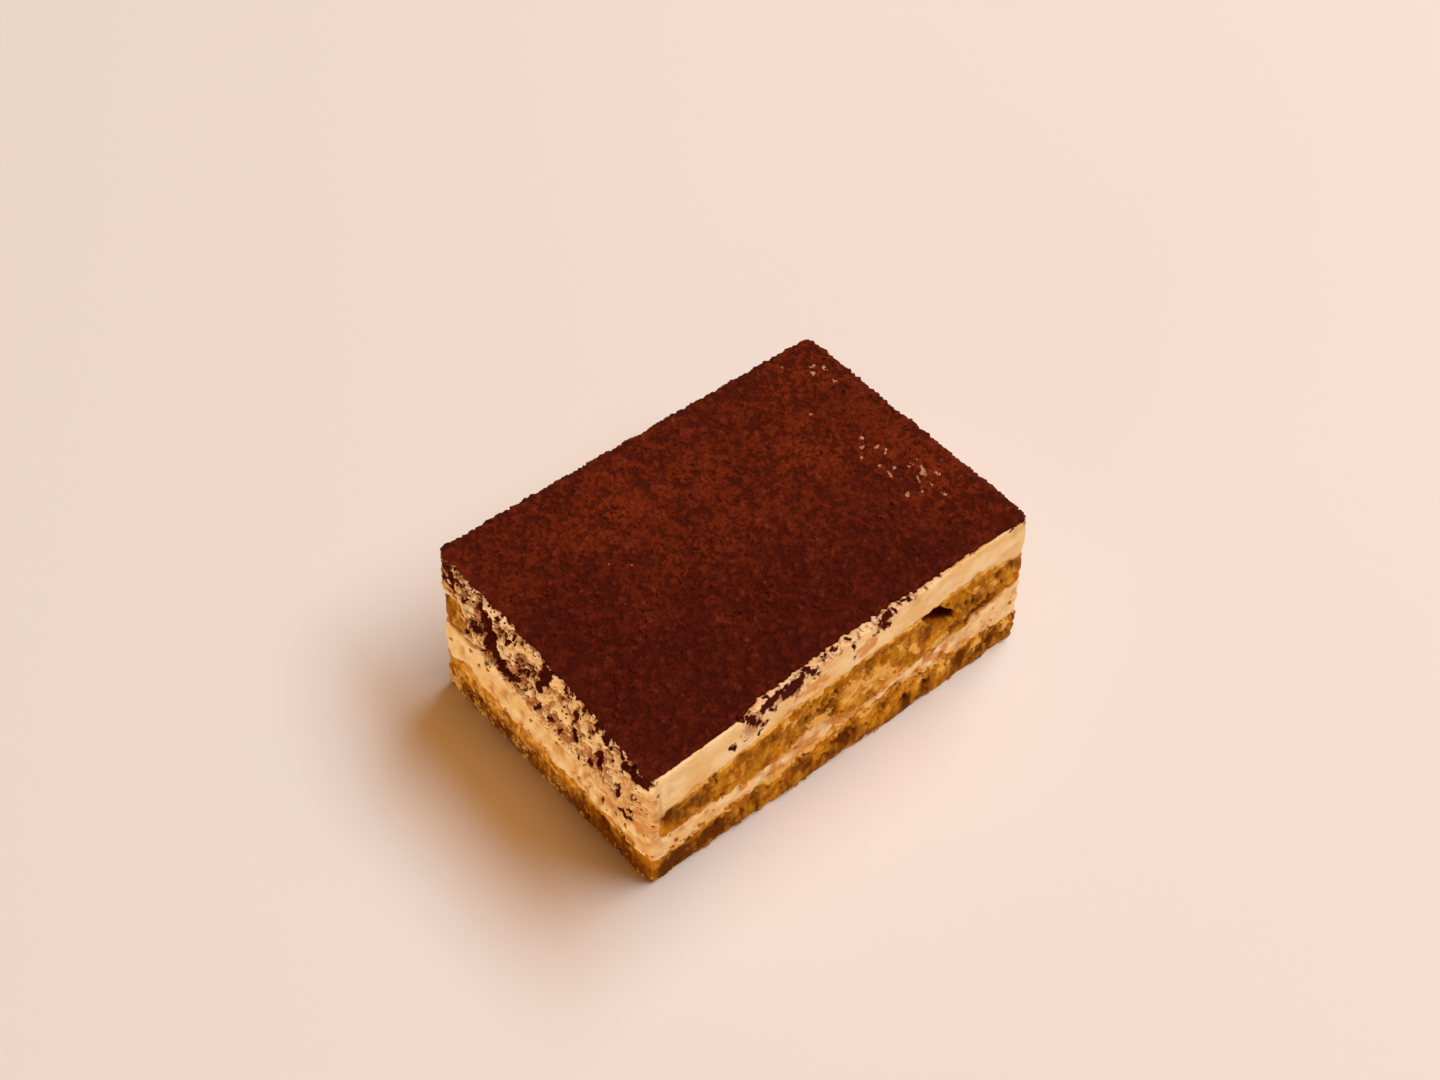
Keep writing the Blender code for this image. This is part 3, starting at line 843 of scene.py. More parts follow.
def sponge_material(look):
    """Soaked sponge: golden crumb, dark towards the coffee at its base; its pores are dark from wetter
    crumb and from painted shade, and the gape between its pieces has painted shade.
    """
    known = bpy.data.materials.get("soaked_sponge")
    if known:
        return known
    material, tree, shader = start_material("soaked_sponge", 0.7, 0.03)
    speckle = use_group(tree, speckle_group(), Grain_Size=1.1, Blotch_Size=3.2, Stretch=0.62)
    fine = use_group(tree, speckle_group(), Grain_Size=0.5, Blotch_Size=2.0, Stretch=0.75)
    colour = mix_colour(tree, speckle.outputs["Blotch"], look["sponge_light"], look["sponge_mid"])
    bright = span(tree, fine.outputs["Blotch"], 0.4, 1.0, 0.0, 0.5)
    colour = mix_colour(tree, bright, colour, look["crumb_glint"])
    wet = calculate(tree, "MULTIPLY_ADD", speckle.outputs["Height"], 0.7, attribute(tree, "soak"))
    wet = calculate(tree, "MULTIPLY_ADD", fine.outputs["Height"], 0.3, wet)
    colour = mix_colour(tree, span(tree, wet, 0.6, 1.6, 0.0, 0.95), colour, look["sponge_dark"])
    # The pores are darker: partly wetter crumb, partly painted shade in them.
    pore = calculate(tree, "MULTIPLY_ADD", speckle.outputs["Grain"], 0.35, attribute(tree, "pore"))
    colour = mix_colour(tree, span(tree, pore, 0.35, 1.3, 0.0, 0.6), colour, look["pore"])
    colour = overlay(tree, colour, smeared(tree, "cream", 1.6, 0.8), 0.75, look["cream_film"])
    # Painted shade in the gape where the pieces of the upper sponge meet.
    colour = mix_colour(tree, span(tree, attribute(tree, "gape_shade"), 0.05, 0.5), colour, look["gape_shade"])
    tree.links.new(colour, shader.inputs["Base Color"])
    height = calculate(tree, "MULTIPLY_ADD", fine.outputs["Height"], 0.6, speckle.outputs["Height"])
    raise_surface(tree, shader, height, 0.0005)
    return material


# ---------------------------------------------------------------- settings


class TiramisuPortionSettings(bpy.types.PropertyGroup):
    """Sizes and colours of the portion."""

    cell: bpy.props.FloatProperty(
        name="Cell", description="Size of the smallest facets", default=0.00026, unit="LENGTH", precision=5
    )
    pore_depth: bpy.props.FloatProperty(
        name="Pore depth", description="Depth of the sponge's largest pores", default=0.0009, unit="LENGTH"
    )
    torn_depth: bpy.props.FloatProperty(
        name="Torn depth", description="Unevenness of the torn cream", default=0.0010, unit="LENGTH"
    )
    grain_count: bpy.props.IntProperty(
        name="Cocoa grains", description="Loose grains of cocoa on the top", default=4200, min=0, max=6000
    )
    flake_count: bpy.props.IntProperty(
        name="Cocoa flakes", description="Flakes of cocoa on the torn side", default=450, min=0, max=1000
    )
    crumb_count: bpy.props.IntProperty(
        name="Crumbs", description="Loose crumbs round the base", default=260, min=0, max=1000
    )
    seed: bpy.props.IntProperty(name="Seed", description="Seed of the scattered grains", default=5)
    cocoa_colour: bpy.props.FloatVectorProperty(
        name="Cocoa",
        description="Colour of thick cocoa",
        subtype="COLOR",
        size=4,
        default=srgb(88, 22, 5),
    )
    cream_colour: bpy.props.FloatVectorProperty(
        name="Cream",
        description="Colour of clean cream",
        subtype="COLOR",
        size=4,
        default=srgb(240, 204, 150),
    )
    sponge_colour: bpy.props.FloatVectorProperty(
        name="Sponge",
        description="Colour of the crumb",
        subtype="COLOR",
        size=4,
        default=srgb(194, 125, 20),
    )
    floor_colour: bpy.props.FloatVectorProperty(
        name="Floor",
        description="Colour of the floor",
        subtype="COLOR",
        size=4,
        default=srgb(232, 221, 215),
    )


def looks(settings):
    """The colours of every finish."""
    return {
        "cocoa_dark": tuple(settings.cocoa_colour),
        "cocoa_smear": srgb(58, 14, 2),
        "cocoa_light": srgb(124, 42, 7),
        # Painted sheen on the cocoa's crests.
        "cocoa_sheen": srgb(140, 68, 50),
        "bare_cream": srgb(214, 150, 112),
        "cream_light": tuple(settings.cream_colour),
        # Painted highlight on the cream's rim and crests.
        "cream_highlight": srgb(246, 198, 166),
        "cream_deep": srgb(228, 178, 110),
        # Painted shade in the cream's dips, also its golden tint of coffee.
        "cream_shade_and_tint": srgb(190, 114, 34),
        "coffee": srgb(206, 124, 20),
        "dust": srgb(158, 82, 28),
        "sponge_light": tuple(settings.sponge_colour),
        "sponge_mid": srgb(158, 86, 6),
        "crumb_glint": srgb(232, 162, 54),
        "sponge_dark": srgb(92, 38, 1),
        # Pores: wetter crumb and painted shade.
        "pore": srgb(66, 24, 1),
        "cream_film": srgb(238, 178, 96),
        # Painted shade in the gape of the upper sponge.
        "gape_shade": srgb(92, 26, 5),
    }


# ---------------------------------------------------------------- pieces


class TIRAMISU_OT_lower_sponge(bpy.types.Operator):
    """Lays the lower sponge, with open pores and a ragged, soaked foot"""

    bl_idname = "tiramisu.lower_sponge"
    bl_label = "Lower sponge"

    def execute(self, context):
        settings = context.scene.tiramisu_portion
        shape = unit_shell(settings.cell, LAYER_DEPTH["lower_sponge"], SPONGE_RINGS, SPONGE_RINGS)
        stations = lay(shape, lambda *_: 0.0, lower_sponge_top)
        sponge_sides(shape, stations, settings, 21.0, foot=True)
        finish_piece("lower_sponge", shape, sponge_material(looks(settings)), "sponge", "sponge_lower")
        return {"FINISHED"}


def foot_tuck(along, across):
    """How far in metres the sponge's rounded foot draws in, most at the left of the long side."""
    front = smooth_step(across * DEPTH, 0.004, 0.0)
    left = 1 - smooth_step(along, 0.28, 0.62)
    return 0.0001 + 0.0005 * front * left


def sponge_marks(vertex, along, across, foot):
    """How wet a place of a sponge is, and how much cream the knife has dragged over it."""
    spot = vertex.co / MM
    frayed_spot = frayed(spot, 1.6, 0.8)
    if across * DEPTH < SKIN and vertex.normal.y < -0.6:
        seen = on_long_side(frayed_spot)
        return marked(FRONT_WET, *seen), marked(FRONT_DRAGS, *seen)
    if along * LENGTH >= SKIN:
        return 0.0, 0.0
    wet = marked(SIDE_WET, *on_short_side(frayed_spot))
    if foot:
        wet += 0.52 + 0.18 * (1 - smooth_step(across, 0.05, 0.5)) - 0.04 * max(0.0, spot.z - 5.0)
        return wet, 0.40 - 0.2 * smooth_step(across, 0.45, 0.2)
    wet += 0.50 * smooth_step(spot.z, 29.5, 26.0)
    return wet, 0.38 + 0.2 * smooth_step(spot.z, 26.0, 30.0)


def sponge_sides(shape, stations, settings, seed, foot=False):
    """Opens the pores of a sponge, and notes where it is soaked, porous or smeared with cream."""
    marks = add_marks(shape, "pore", "soak", "cream", "gape_shade")
    for vertex, (along, across, share) in zip(shape.verts, stations):
        spot = vertex.co / MM
        deep, lumps = crumb(spot + Vector((seed, 0.0, 0.0)))
        drip = noise.noise(Vector((spot.x / 1.2, spot.y / 1.2, spot.z / 7.0 + seed)))
        wet, film = sponge_marks(vertex, along, across, foot)
        out = 0.0006 + 0.00035 * lumps + 0.0002 * drip - settings.pore_depth * deep - 0.0004 * min(wet, 1.2)
        if foot:
            tucked = max(0.0, 1.0 - spot.z / (2.0 + 0.8 * drip))
            out -= foot_tuck(along, across) * tucked + 0.0004 * tucked * (0.3 + drip)
            edge = 1 - share
            vertex[marks.soak] = 0.62 - 0.07 * spot.z + 0.2 * lumps + 0.45 * drip + 0.7 * wet
        else:
            edge = min(share, 1 - share)
            vertex[marks.soak] = 0.22 - 0.25 * lumps + 0.22 * drip + 0.7 * wet
        # The pore depth darkens the colour too: partly wetter crumb, partly painted shade.
        vertex[marks.pore] = deep
        vertex[marks.cream] = max(0.55 * math.exp(-edge * 9.0), film) + 0.15 * lumps
        side = Vector((vertex.normal.x, vertex.normal.y, 0.35 * vertex.normal.z))
        vertex.co += side * out
        if foot:
            vertex.co.z = max(0.0, vertex.co.z)


class TIRAMISU_OT_middle_cream(bpy.types.Operator):
    """Spreads the cream between the sponges"""

    bl_idname = "tiramisu.middle_cream"
    bl_label = "Middle cream"

    def execute(self, context):
        settings = context.scene.tiramisu_portion
        shape = unit_shell(settings.cell, LAYER_DEPTH["middle_cream"], CREAM_RINGS, CREAM_RINGS)
        stations = lay(shape, lower_sponge_top, middle_cream_top)
        marks = add_marks(shape, *CREAM_MARKS)
        for vertex, (along, across, share) in zip(shape.verts, stations):
            spot = vertex.co / MM
            soft = noise.fractal(spot / 3.2, 1.0, 2.0, 3)
            drag = noise.noise(Vector((spot.x / 4.0, spot.y / 4.0, spot.z / 0.9)))
            bulge = math.sin(math.pi * min(1.0, max(0.0, share)))
            frayed_spot = frayed(spot, 1.4, 0.7)
            stain = crumbs = warm = 0.0
            if across * DEPTH < SKIN:
                crumbs = 1.35 * marked(FRONT_CRUMB, *on_long_side(frayed_spot))
                warm = smooth_step(spot.x, -30.0, -20.0) * smooth_step(spot.x, 40.0, 34.0)
            elif along * LENGTH < SKIN:
                stain = marked(SIDE_STREAKS, *on_short_side(frayed_spot))
                stroke = noise.noise(Vector((spot.x, spot.y / 1.9 + 0.2 * spot.z, spot.z / 6.0)))
                soft = 0.9 * soft + 1.1 * stroke
            out = 0.00025 + 0.00025 * bulge + 0.00045 * soft + 0.00006 * drag - 0.0005 * crumbs
            golden = smooth_step(along * LENGTH, SKIN, 0.001) * smooth_step(across, 0.5, 0.2)
            # Painted shade where the soft relief dips; a golden tint on the short side's front and the long
            # side.
            vertex[marks.hollow] = 0.10 - 0.8 * soft + 0.45 * golden + 0.3 * warm
            edge = min(share, 1 - share)
            vertex[marks.soak] = max(0.6 * math.exp(-edge * 8.0), 0.9 * crumbs) - 0.25 * soft
            vertex[marks.dust] = 1.1 * stain
            vertex[marks.cocoa] = 0.7 * stain
            side = Vector((vertex.normal.x, vertex.normal.y, 0.3 * vertex.normal.z))
            vertex.co += side * out
        finish_piece("middle_cream", shape, cream_material(looks(settings)), "cream", "cream_middle")
        return {"FINISHED"}


def seam_place(height):
    """Where along the portion the leaning seam of the upper sponge lies at a height."""
    x = SEAM_POINT[0] + (SEAM_POINT[1] - height) * math.tan(SEAM_LEAN)
    return x / LENGTH + 0.5


class TIRAMISU_OT_upper_sponge(bpy.types.Operator):
    """Lays the two pieces of the upper sponge, which gape where they meet at the cut side"""

    bl_idname = "tiramisu.upper_sponge"
    bl_label = "Upper sponge"

    def execute(self, context):
        settings = context.scene.tiramisu_portion
        material = sponge_material(looks(settings))
        for name, node, side, length in (
            ("upper_sponge_long", "sponge_upper_long", -1, 0.078),
            ("upper_sponge_short", "sponge_upper_short", 1, 0.026),
        ):
            shape = unit_shell(settings.cell, LAYER_DEPTH["upper_sponge"], SPONGE_RINGS, SPONGE_RINGS, length)
            stations = lay(shape, middle_cream_top, upper_sponge_top, end=seam_end(side))
            sponge_sides(shape, stations, settings, 40.0 + 9 * side)
            open_gape(shape, stations, side)
            finish_piece(name, shape, material, "sponge", node)
        return {"FINISHED"}


def seam_end(side):
    """Gives the place along of a cell of the piece on that side of the seam."""

    def along_of(u, across, w):
        share = 0.43 + 0.32 * w
        seam = seam_place(share * HEIGHT)
        smeared_over = 1 - smooth_step(across, SMEAR_END - 0.05, SMEAR_END + 0.02)
        start = 0.0006 / LENGTH + 0.0013 / LENGTH * smeared_over
        if side < 0:
            return start + (seam - 0.0001 / LENGTH - start) * u
        last = 1 - 0.0003 / LENGTH
        return last + (seam + 0.0001 / LENGTH - last) * (1 - u)

    return along_of


def open_gape(shape, stations, side):
    """Hollows the sponge out where the two pieces meet at the cut side, marks the hole for painted shade,
    and rounds off the foot of the short piece there."""
    gape_shade = shape.verts.layers.float["gape_shade"]
    top, foot = Vector(GAPE_TOP), Vector(GAPE_FOOT)
    way = (foot - top).normalized()
    for vertex, (_, across, share) in zip(shape.verts, stations):
        spot = frayed(vertex.co / MM, 1.3, 0.4)
        run = Vector(on_long_side(spot)) - top
        down = run.dot(way) / (foot - top).length
        aside = abs(run.x * way.y - run.y * way.x - 0.3)
        width = 1.9 - 1.0 * min(1.0, max(0.0, down))
        hole = 1 - smooth_step(aside, 0.7 * width, 1.25 * width)
        hole *= smooth_step(down, -0.3, -0.1) * (1 - smooth_step(down, 0.95, 1.15))
        hole *= smooth_step(across * DEPTH, 0.012, 0.002)
        # The hole takes painted shade.
        vertex[gape_shade] = hole
        vertex.co.y += GAPE_DEPTH * hole
        if side > 0:
            foot_share = max(0.0, 1 - share / 0.16) * smooth_step(across * DEPTH, 0.004, 0.0)
            vertex.co.y += 0.0012 * foot_share * foot_share
    shape.normal_update()


def smear_foot(along, across):
    """Lowest level of the top cream: the sponge's top, and on the short side the smear's ragged foot."""
    top = upper_sponge_top(along, across)
    from_side = along * LENGTH
    if from_side < SMEAR_THICKNESS * 1.02:
        reach = 1 - smooth_step(across, SMEAR_END - 0.05, SMEAR_END)
        ragged = 0.02 * plan_noise(0.0, across, 2.2, 3.0)
        foot = middle_cream_top(0.0, across) - 0.025 + ragged
        return top + (foot - top) * reach
    return top


def cream_spot(point, along, across):
    """The unevenness of the top cream at a point, how far in millimetres it lies below the rim, and how
    fully it belongs to the torn side and to the long one."""
    spot = point / MM
    strand = 1 - 2.6 * abs(noise.noise(Vector((spot.x / 1.3, spot.y / 2.3 + 0.15 * spot.z, spot.z / 0.85))))
    soft = noise.fractal(spot / 3.4, 1.0, 2.0, 3)
    drag = noise.noise(Vector((spot.x / 1.6, spot.y / 1.3, spot.z / 3.0)))
    fine = noise.noise(Vector((spot.x / 0.7, spot.y / 0.7, spot.z / 1.3 + 4.0)))
    return SimpleNamespace(
        along=along,
        across=across,
        spot=spot,
        frayed=frayed(spot, 1.5, 0.7),
        below_rim=(height_at(along, across) - point.z) / MM,
        torn=smooth_step(along * LENGTH / MM, 3.4, 0.6),
        front=smooth_step(across * DEPTH / MM, 3.4, 0.4),
        soft=soft,
        drag=drag,
        fine=fine,
        rough=0.6 * soft + 0.5 * drag + 0.75 * strand + 0.35 * fine,
    )


def rim_shoulder(at, share):
    """How far in metres the rim of the top cream is rounded off, most at the left of the long side."""
    shoulder = 0.0006 + 0.0005 * smooth_step(at.across * DEPTH, 0.004, 0.006)
    shoulder += 0.0008 * (1 - smooth_step(at.along, 0.17, 0.24)) * (1 - at.torn)
    return shoulder * max(0.0, 1 - at.below_rim / 1.2) ** 2 * (share > 0.5)


def tear_side(vertex, marks, at, torn_depth):
    """Marks a vertex of the torn side with a painted highlight, cocoa, dust, coffee, and painted shade
    with a golden tint. Returns how far in metres it stands out."""
    caved = marked(SIDE_HOLLOWS, *on_short_side(at.frayed))
    seen = on_short_side(at.frayed + Vector((0.9 * at.torn * caved, 0.0, 0.0)))
    ragged = at.torn * smooth_step(seen[1], 15.0, 23.0)
    stain = marked(SIDE_STREAKS, *seen)
    wash = marked(SIDE_WASHES, *seen)
    fringe = math.exp(-max(0.0, at.below_rim - 0.4) / 1.7)
    back = 1 - smooth_step(seen[0], -5.0, 3.0)
    fade = math.exp(-at.below_rim / (1.6 + 2.6 * back))
    # Painted highlight along the rim and on the crests of the torn cream.
    vertex[marks.pale] = at.torn * (0.55 * fade + 0.30 * at.rough * math.exp(-at.below_rim / 6.0))
    corner = smooth_step(seen[0], 22.0, 27.0) * (1 - smooth_step(seen[1], 32.0, 34.0))
    rest = 0.34 + 0.12 * back - 0.30 * corner
    zone = max(1.15 * stain, 0.62 * fringe + 0.5 * at.drag * fringe, rest)
    streaked = ragged * (zone - 0.34 * at.rough * (1 - 0.6 * stain) + 0.2 * at.fine)
    vertex[marks.cocoa] = max(streaked, at.torn * stain)
    halo = 0.9 * smooth_step(vertex[marks.cocoa], 0.0, 0.45)
    dusty = max(0.46 + 0.5 * wash, halo) - 0.5 * at.rough - 0.3 * corner
    vertex[marks.dust] = at.torn * ragged * dusty
    vertex[marks.soak] = at.torn * (ragged * (0.40 + 0.3 * wash - 0.46 * at.rough))
    golden = 0.62 * smooth_step(seen[0], -6.0, 14.0) + 0.3 * corner
    # Painted shade where the side caves in and where its relief dips, with a golden tint towards the front.
    vertex[marks.hollow] = at.torn * (0.9 * caved - 0.6 * at.rough * ragged + golden)
    calm = 1 - 0.75 * smooth_step(at.across, 0.86, 0.96)
    calm *= 1 - 0.85 * smooth_step(at.across * DEPTH / MM, 4.5, 1.0)
    return ragged * calm * (torn_depth * at.rough - 0.0002) - at.torn * MM * caved * 0.9


def streak_front(vertex, marks, at):
    """Adds the cocoa, dust, painted highlight along the rim and coffee of the long side to a vertex.
    Returns how far in metres its streaks lie in."""
    seen = on_long_side(at.frayed)
    stain = marked(FRONT_STREAKS, *seen)
    wash = marked(FRONT_WASHES, *seen)
    side_on = at.front * (1 - at.torn)
    streaky = smooth_step(seen[0], -30.0, -22.0) * (1 - 0.7 * smooth_step(seen[0], 14.0, 28.0))
    strokes = noise.noise(Vector((at.spot.x / 0.8 + 0.2 * seen[1], 7.0, seen[1] / 2.6)))
    comb = (1 - at.torn) * (math.exp(-at.below_rim / 1.8) * (0.26 + 0.75 * strokes) * streaky)
    uneven = 1.3 * stain * (1 + 1.1 * at.drag + 0.8 * at.fine) + 0.12 * at.fine
    vertex[marks.cocoa] = max(vertex[marks.cocoa], comb, side_on * uneven)
    rim_dust = math.exp(-at.below_rim / 1.5) * (0.4 + 0.3 * at.drag) * streaky
    halo = 0.7 * smooth_step(vertex[marks.cocoa], 0.0, 0.42)
    dusty = max(wash + 0.2 * at.rough * wash, rim_dust, halo)
    vertex[marks.dust] = max(vertex[marks.dust], side_on * dusty)
    # Painted highlight along the rim.
    pale = side_on * streaky * 0.8 * math.exp(-at.below_rim)
    vertex[marks.pale] = max(vertex[marks.pale], pale)
    vertex[marks.soak] = max(vertex[marks.soak], side_on * marked(FRONT_COFFEE, *seen))
    return side_on * 0.0003 * stain


class TIRAMISU_OT_top_cream(bpy.types.Operator):
    """Spreads the upper cream, torn and streaked with cocoa on the short side"""

    bl_idname = "tiramisu.top_cream"
    bl_label = "Top cream"

    def execute(self, context):
        settings = context.scene.tiramisu_portion
        shape = unit_shell(settings.cell, LAYER_DEPTH["top_cream"], RIM_RINGS, FOOT_RINGS)
        stations = lay(shape, smear_foot, cream_rim)
        marks = add_marks(shape, *CREAM_MARKS)
        for vertex, (along, across, share) in zip(shape.verts, stations):
            at = cream_spot(vertex.co, along, across)
            out = 0.00025 + 0.00018 * at.soft + 0.00005 * at.drag - rim_shoulder(at, share)
            if at.torn > 0:
                out += tear_side(vertex, marks, at, settings.torn_depth)
            else:
                # Painted shade where the soft relief dips.
                vertex[marks.hollow] = 0.05 - 0.5 * at.soft
            if at.front > 0:
                out -= streak_front(vertex, marks, at)
            soaked_foot = 0.6 * math.exp(-share * 12.0) * (1 - at.torn) - 0.2 * at.soft
            vertex[marks.soak] = max(soaked_foot, vertex[marks.soak], 0.0)
            out *= 1 - smooth_step(vertex.normal.z, 0.5, 0.9)
            rim = bare_rim(along)
            covered = smooth_step(across * DEPTH, rim - 0.0002, rim + 0.0006) * (1 - 0.5 * at.torn)
            sink = 0.0009 * covered * max(0.0, 1 - max(0.0, at.below_rim - 0.5) / 2.2)
            vertex.co = vertex.co + vertex.normal * out - Vector((0.0, 0.0, sink))
        finish_piece("top_cream", shape, cream_material(looks(settings)), "cream", "cream_top")
        return {"FINISHED"}


def bare_rim(along):
    """How far the cocoa stops short of the long cut side."""
    bare = MM * along_stations(BARE_RIM, along)
    uneven = 0.4 * noise.noise(Vector((along * 45.0, 3.0, 0.0)))
    uneven += 0.35 * noise.noise(Vector((along * 110.0, 8.0, 0.0)))
    return bare + max(0.0, bare) * uneven


def cocoa_surface(spot):
    """Height in millimetres of the cocoa's clumps at a spot."""
    bent = spot + noise.noise_vector(spot * 0.55) * 0.9 + noise.noise_vector(spot * 1.7) * 0.25
    far, points = noise.voronoi(Vector((bent.x / 1.45, bent.y / 1.25, 0.0)))
    chosen = 0.5 + 0.5 * noise.cell(points[0] * 4.7)
    clump = (1 - smooth_step(far[0], 0.05, 0.72)) * (0.35 + 0.65 * chosen)
    far, points = noise.voronoi(bent / 0.78 + Vector((3.0, 8.0, 1.0)))
    small = (1 - smooth_step(far[0], 0.1, 0.7)) * (0.5 + 0.5 * noise.cell(points[0] * 6.1))
    rolling = noise.fractal(spot / 9.0, 1.0, 2.0, 2)
    rough = noise.fractal(spot / 1.8, 1.0, 2.0, 3)
    return 0.42 * clump + 0.20 * small + 0.20 * rough + 0.12 * rolling


def fray_edge(spot, u, v, over):
    """How far the cocoa's ragged edge is pushed out or in at a place, and least where it hangs over."""
    to_end = min(u * LENGTH, (1 - u) * LENGTH) / MM
    to_side = min(v * DEPTH, (1 - v) * DEPTH) / MM
    weight = 1 - min(to_end, to_side) / COCOA_FRAY
    if weight <= 0:
        return Vector((0.0, 0.0, 0.0))
    rough = noise.noise(spot / 0.8) + 0.8 * noise.noise(spot / 0.35 + Vector((5, 5, 5)))
    slow = noise.noise(spot / 3.5)
    push = MM * weight * (0.5 * rough + 0.35 * slow + 0.35 * (v > 0.02))
    outwards = Vector((u - 0.5, 0, 0)) if to_end < to_side else Vector((0, v - 0.5, 0))
    return outwards.normalized() * (push * (1 - 0.75 * over))


class TIRAMISU_OT_cocoa(bpy.types.Operator):
    """Dusts the top with cocoa, in small clumps and with a ragged edge"""

    bl_idname = "tiramisu.cocoa"
    bl_label = "Cocoa"

    def execute(self, context):
        settings = context.scene.tiramisu_portion
        shape = cocoa_sheet(settings.cell * 1.12)
        marks = add_marks(shape, "bare", "thin", "crest")
        for vertex in shape.verts:
            u, v, w = vertex.co
            front = bare_rim(u)
            across = front / DEPTH + v * (1 - front / DEPTH)
            level_top = place(u, across, 1.0)
            spot = level_top / MM
            edge = min(u * LENGTH, (1 - u) * LENGTH, v * DEPTH, (1 - v) * DEPTH) / MM
            low = level_top.z - 0.0008 - 0.0005 * smooth_step(edge, 0.5, 2.0)
            over = smooth_step(v, 0.01, 0.0) * (1 - smooth_step(u, 0.17, 0.23))
            low -= over * 0.0004 * noise.noise(spot / 1.6)
            droop = 0.0006 * max(0.0, 1 - edge / 0.9) ** 2
            flat = frayed(spot, 1.2, 0.5)
            vertex[marks.bare] = marked(BARE_COCOA, flat.x, flat.y)
            vertex[marks.thin] = marked(THIN_COCOA, flat.x, flat.y)
            lift = cocoa_surface(spot)
            # The crest sets where the cocoa takes painted shade and painted sheen.
            vertex[marks.crest] = (lift + 0.05) / 0.55
            high = level_top.z - 0.0005 + MM * lift - droop - 0.0002 * vertex[marks.bare]
            height = low + (high - low) * w
            vertex.co = Vector((level_top.x, level_top.y, height)) + fray_edge(spot, u, v, over)
        bmesh.ops.recalc_face_normals(shape, faces=shape.faces)
        finish_piece("cocoa_cover", shape, cocoa_material(looks(settings)), "cocoa", "cocoa_dusting")
        return {"FINISHED"}


def cocoa_sheet(cell):
    """A flat box of unit plan: a fine grid on top, a short skirt and a coarse floor."""
    shape = bmesh.new()
    matrix = Matrix.Translation((0.5, 0.5, 1.0))
    cells = (round(LENGTH / cell), round(DEPTH / cell))
    bmesh.ops.create_grid(shape, x_segments=cells[0], y_segments=cells[1], size=0.5, matrix=matrix)
    loop = [edge for edge in shape.edges if edge.is_boundary]
    for height in (0.6, 0.25, 0.0):
        corners, loop = new_corners(bmesh.ops.extrude_edge_only(shape, edges=loop))
        for corner in corners:
            corner.co.z = height
    turn = Matrix.Rotation(math.pi, 4, "X")
    matrix = Matrix.Translation((0.5, 0.5, 0.0)) @ turn
    close_with_grid(shape, loop, 36, CAP_ROWS, 0.49, matrix)
    bmesh.ops.recalc_face_normals(shape, faces=shape.faces)
    return shape


def lump_matrix(rng, point, size, flat=1.0, normal=None):
    """Where one rough lump lies on a surface, and how it is turned and squashed."""
    turn = Euler([rng.uniform(0, math.tau) for _ in range(3)]).to_matrix().to_4x4()
    stretch = Matrix.Diagonal([size * rng.uniform(0.7, 1.2) for _ in range(3)] + [1.0])
    lie = (normal or Vector((0, 0, 1))).to_track_quat("Z", "Y").to_matrix().to_4x4()
    squash = Matrix.Diagonal((1.0, 1.0, flat, 1.0))
    return Matrix.Translation(point) @ lie @ squash @ turn @ stretch


def gather_lumps(lumps):
    """A bmesh of rough lumps, each given by its matrix, size and fineness. It is filled a few lumps at
    a time, because an operator takes longer the more its mesh holds."""
    shape = bmesh.new()
    for start in range(0, len(lumps), 40):
        few = bmesh.new()
        for matrix, size, fineness in lumps[start : start + 40]:
            made = bmesh.ops.create_icosphere(few, subdivisions=fineness, radius=0.5, matrix=matrix)
            for corner in made["verts"]:
                corner.co += noise.noise_vector(corner.co / (size * 0.6)) * size * 0.16
        mesh = bpy.data.meshes.new("few_lumps")
        few.to_mesh(mesh)
        few.free()
        shape.from_mesh(mesh)
        bpy.data.meshes.remove(mesh)
    return shape


def surface_tree(name):
    """A search tree of a finished piece's surface."""
    mesh = bpy.data.objects[name].data
    corners = [corner.co for corner in mesh.vertices]
    return BVHTree.FromPolygons(corners, [face.vertices for face in mesh.polygons])


# Lowest height of a grain on the top, deepest place of a flake on the torn side, and how many places are
# tried for the flakes.
LOWEST_GRAIN, DEEPEST_FLAKE, FLAKE_TRIES = 0.036, -0.043, 9000


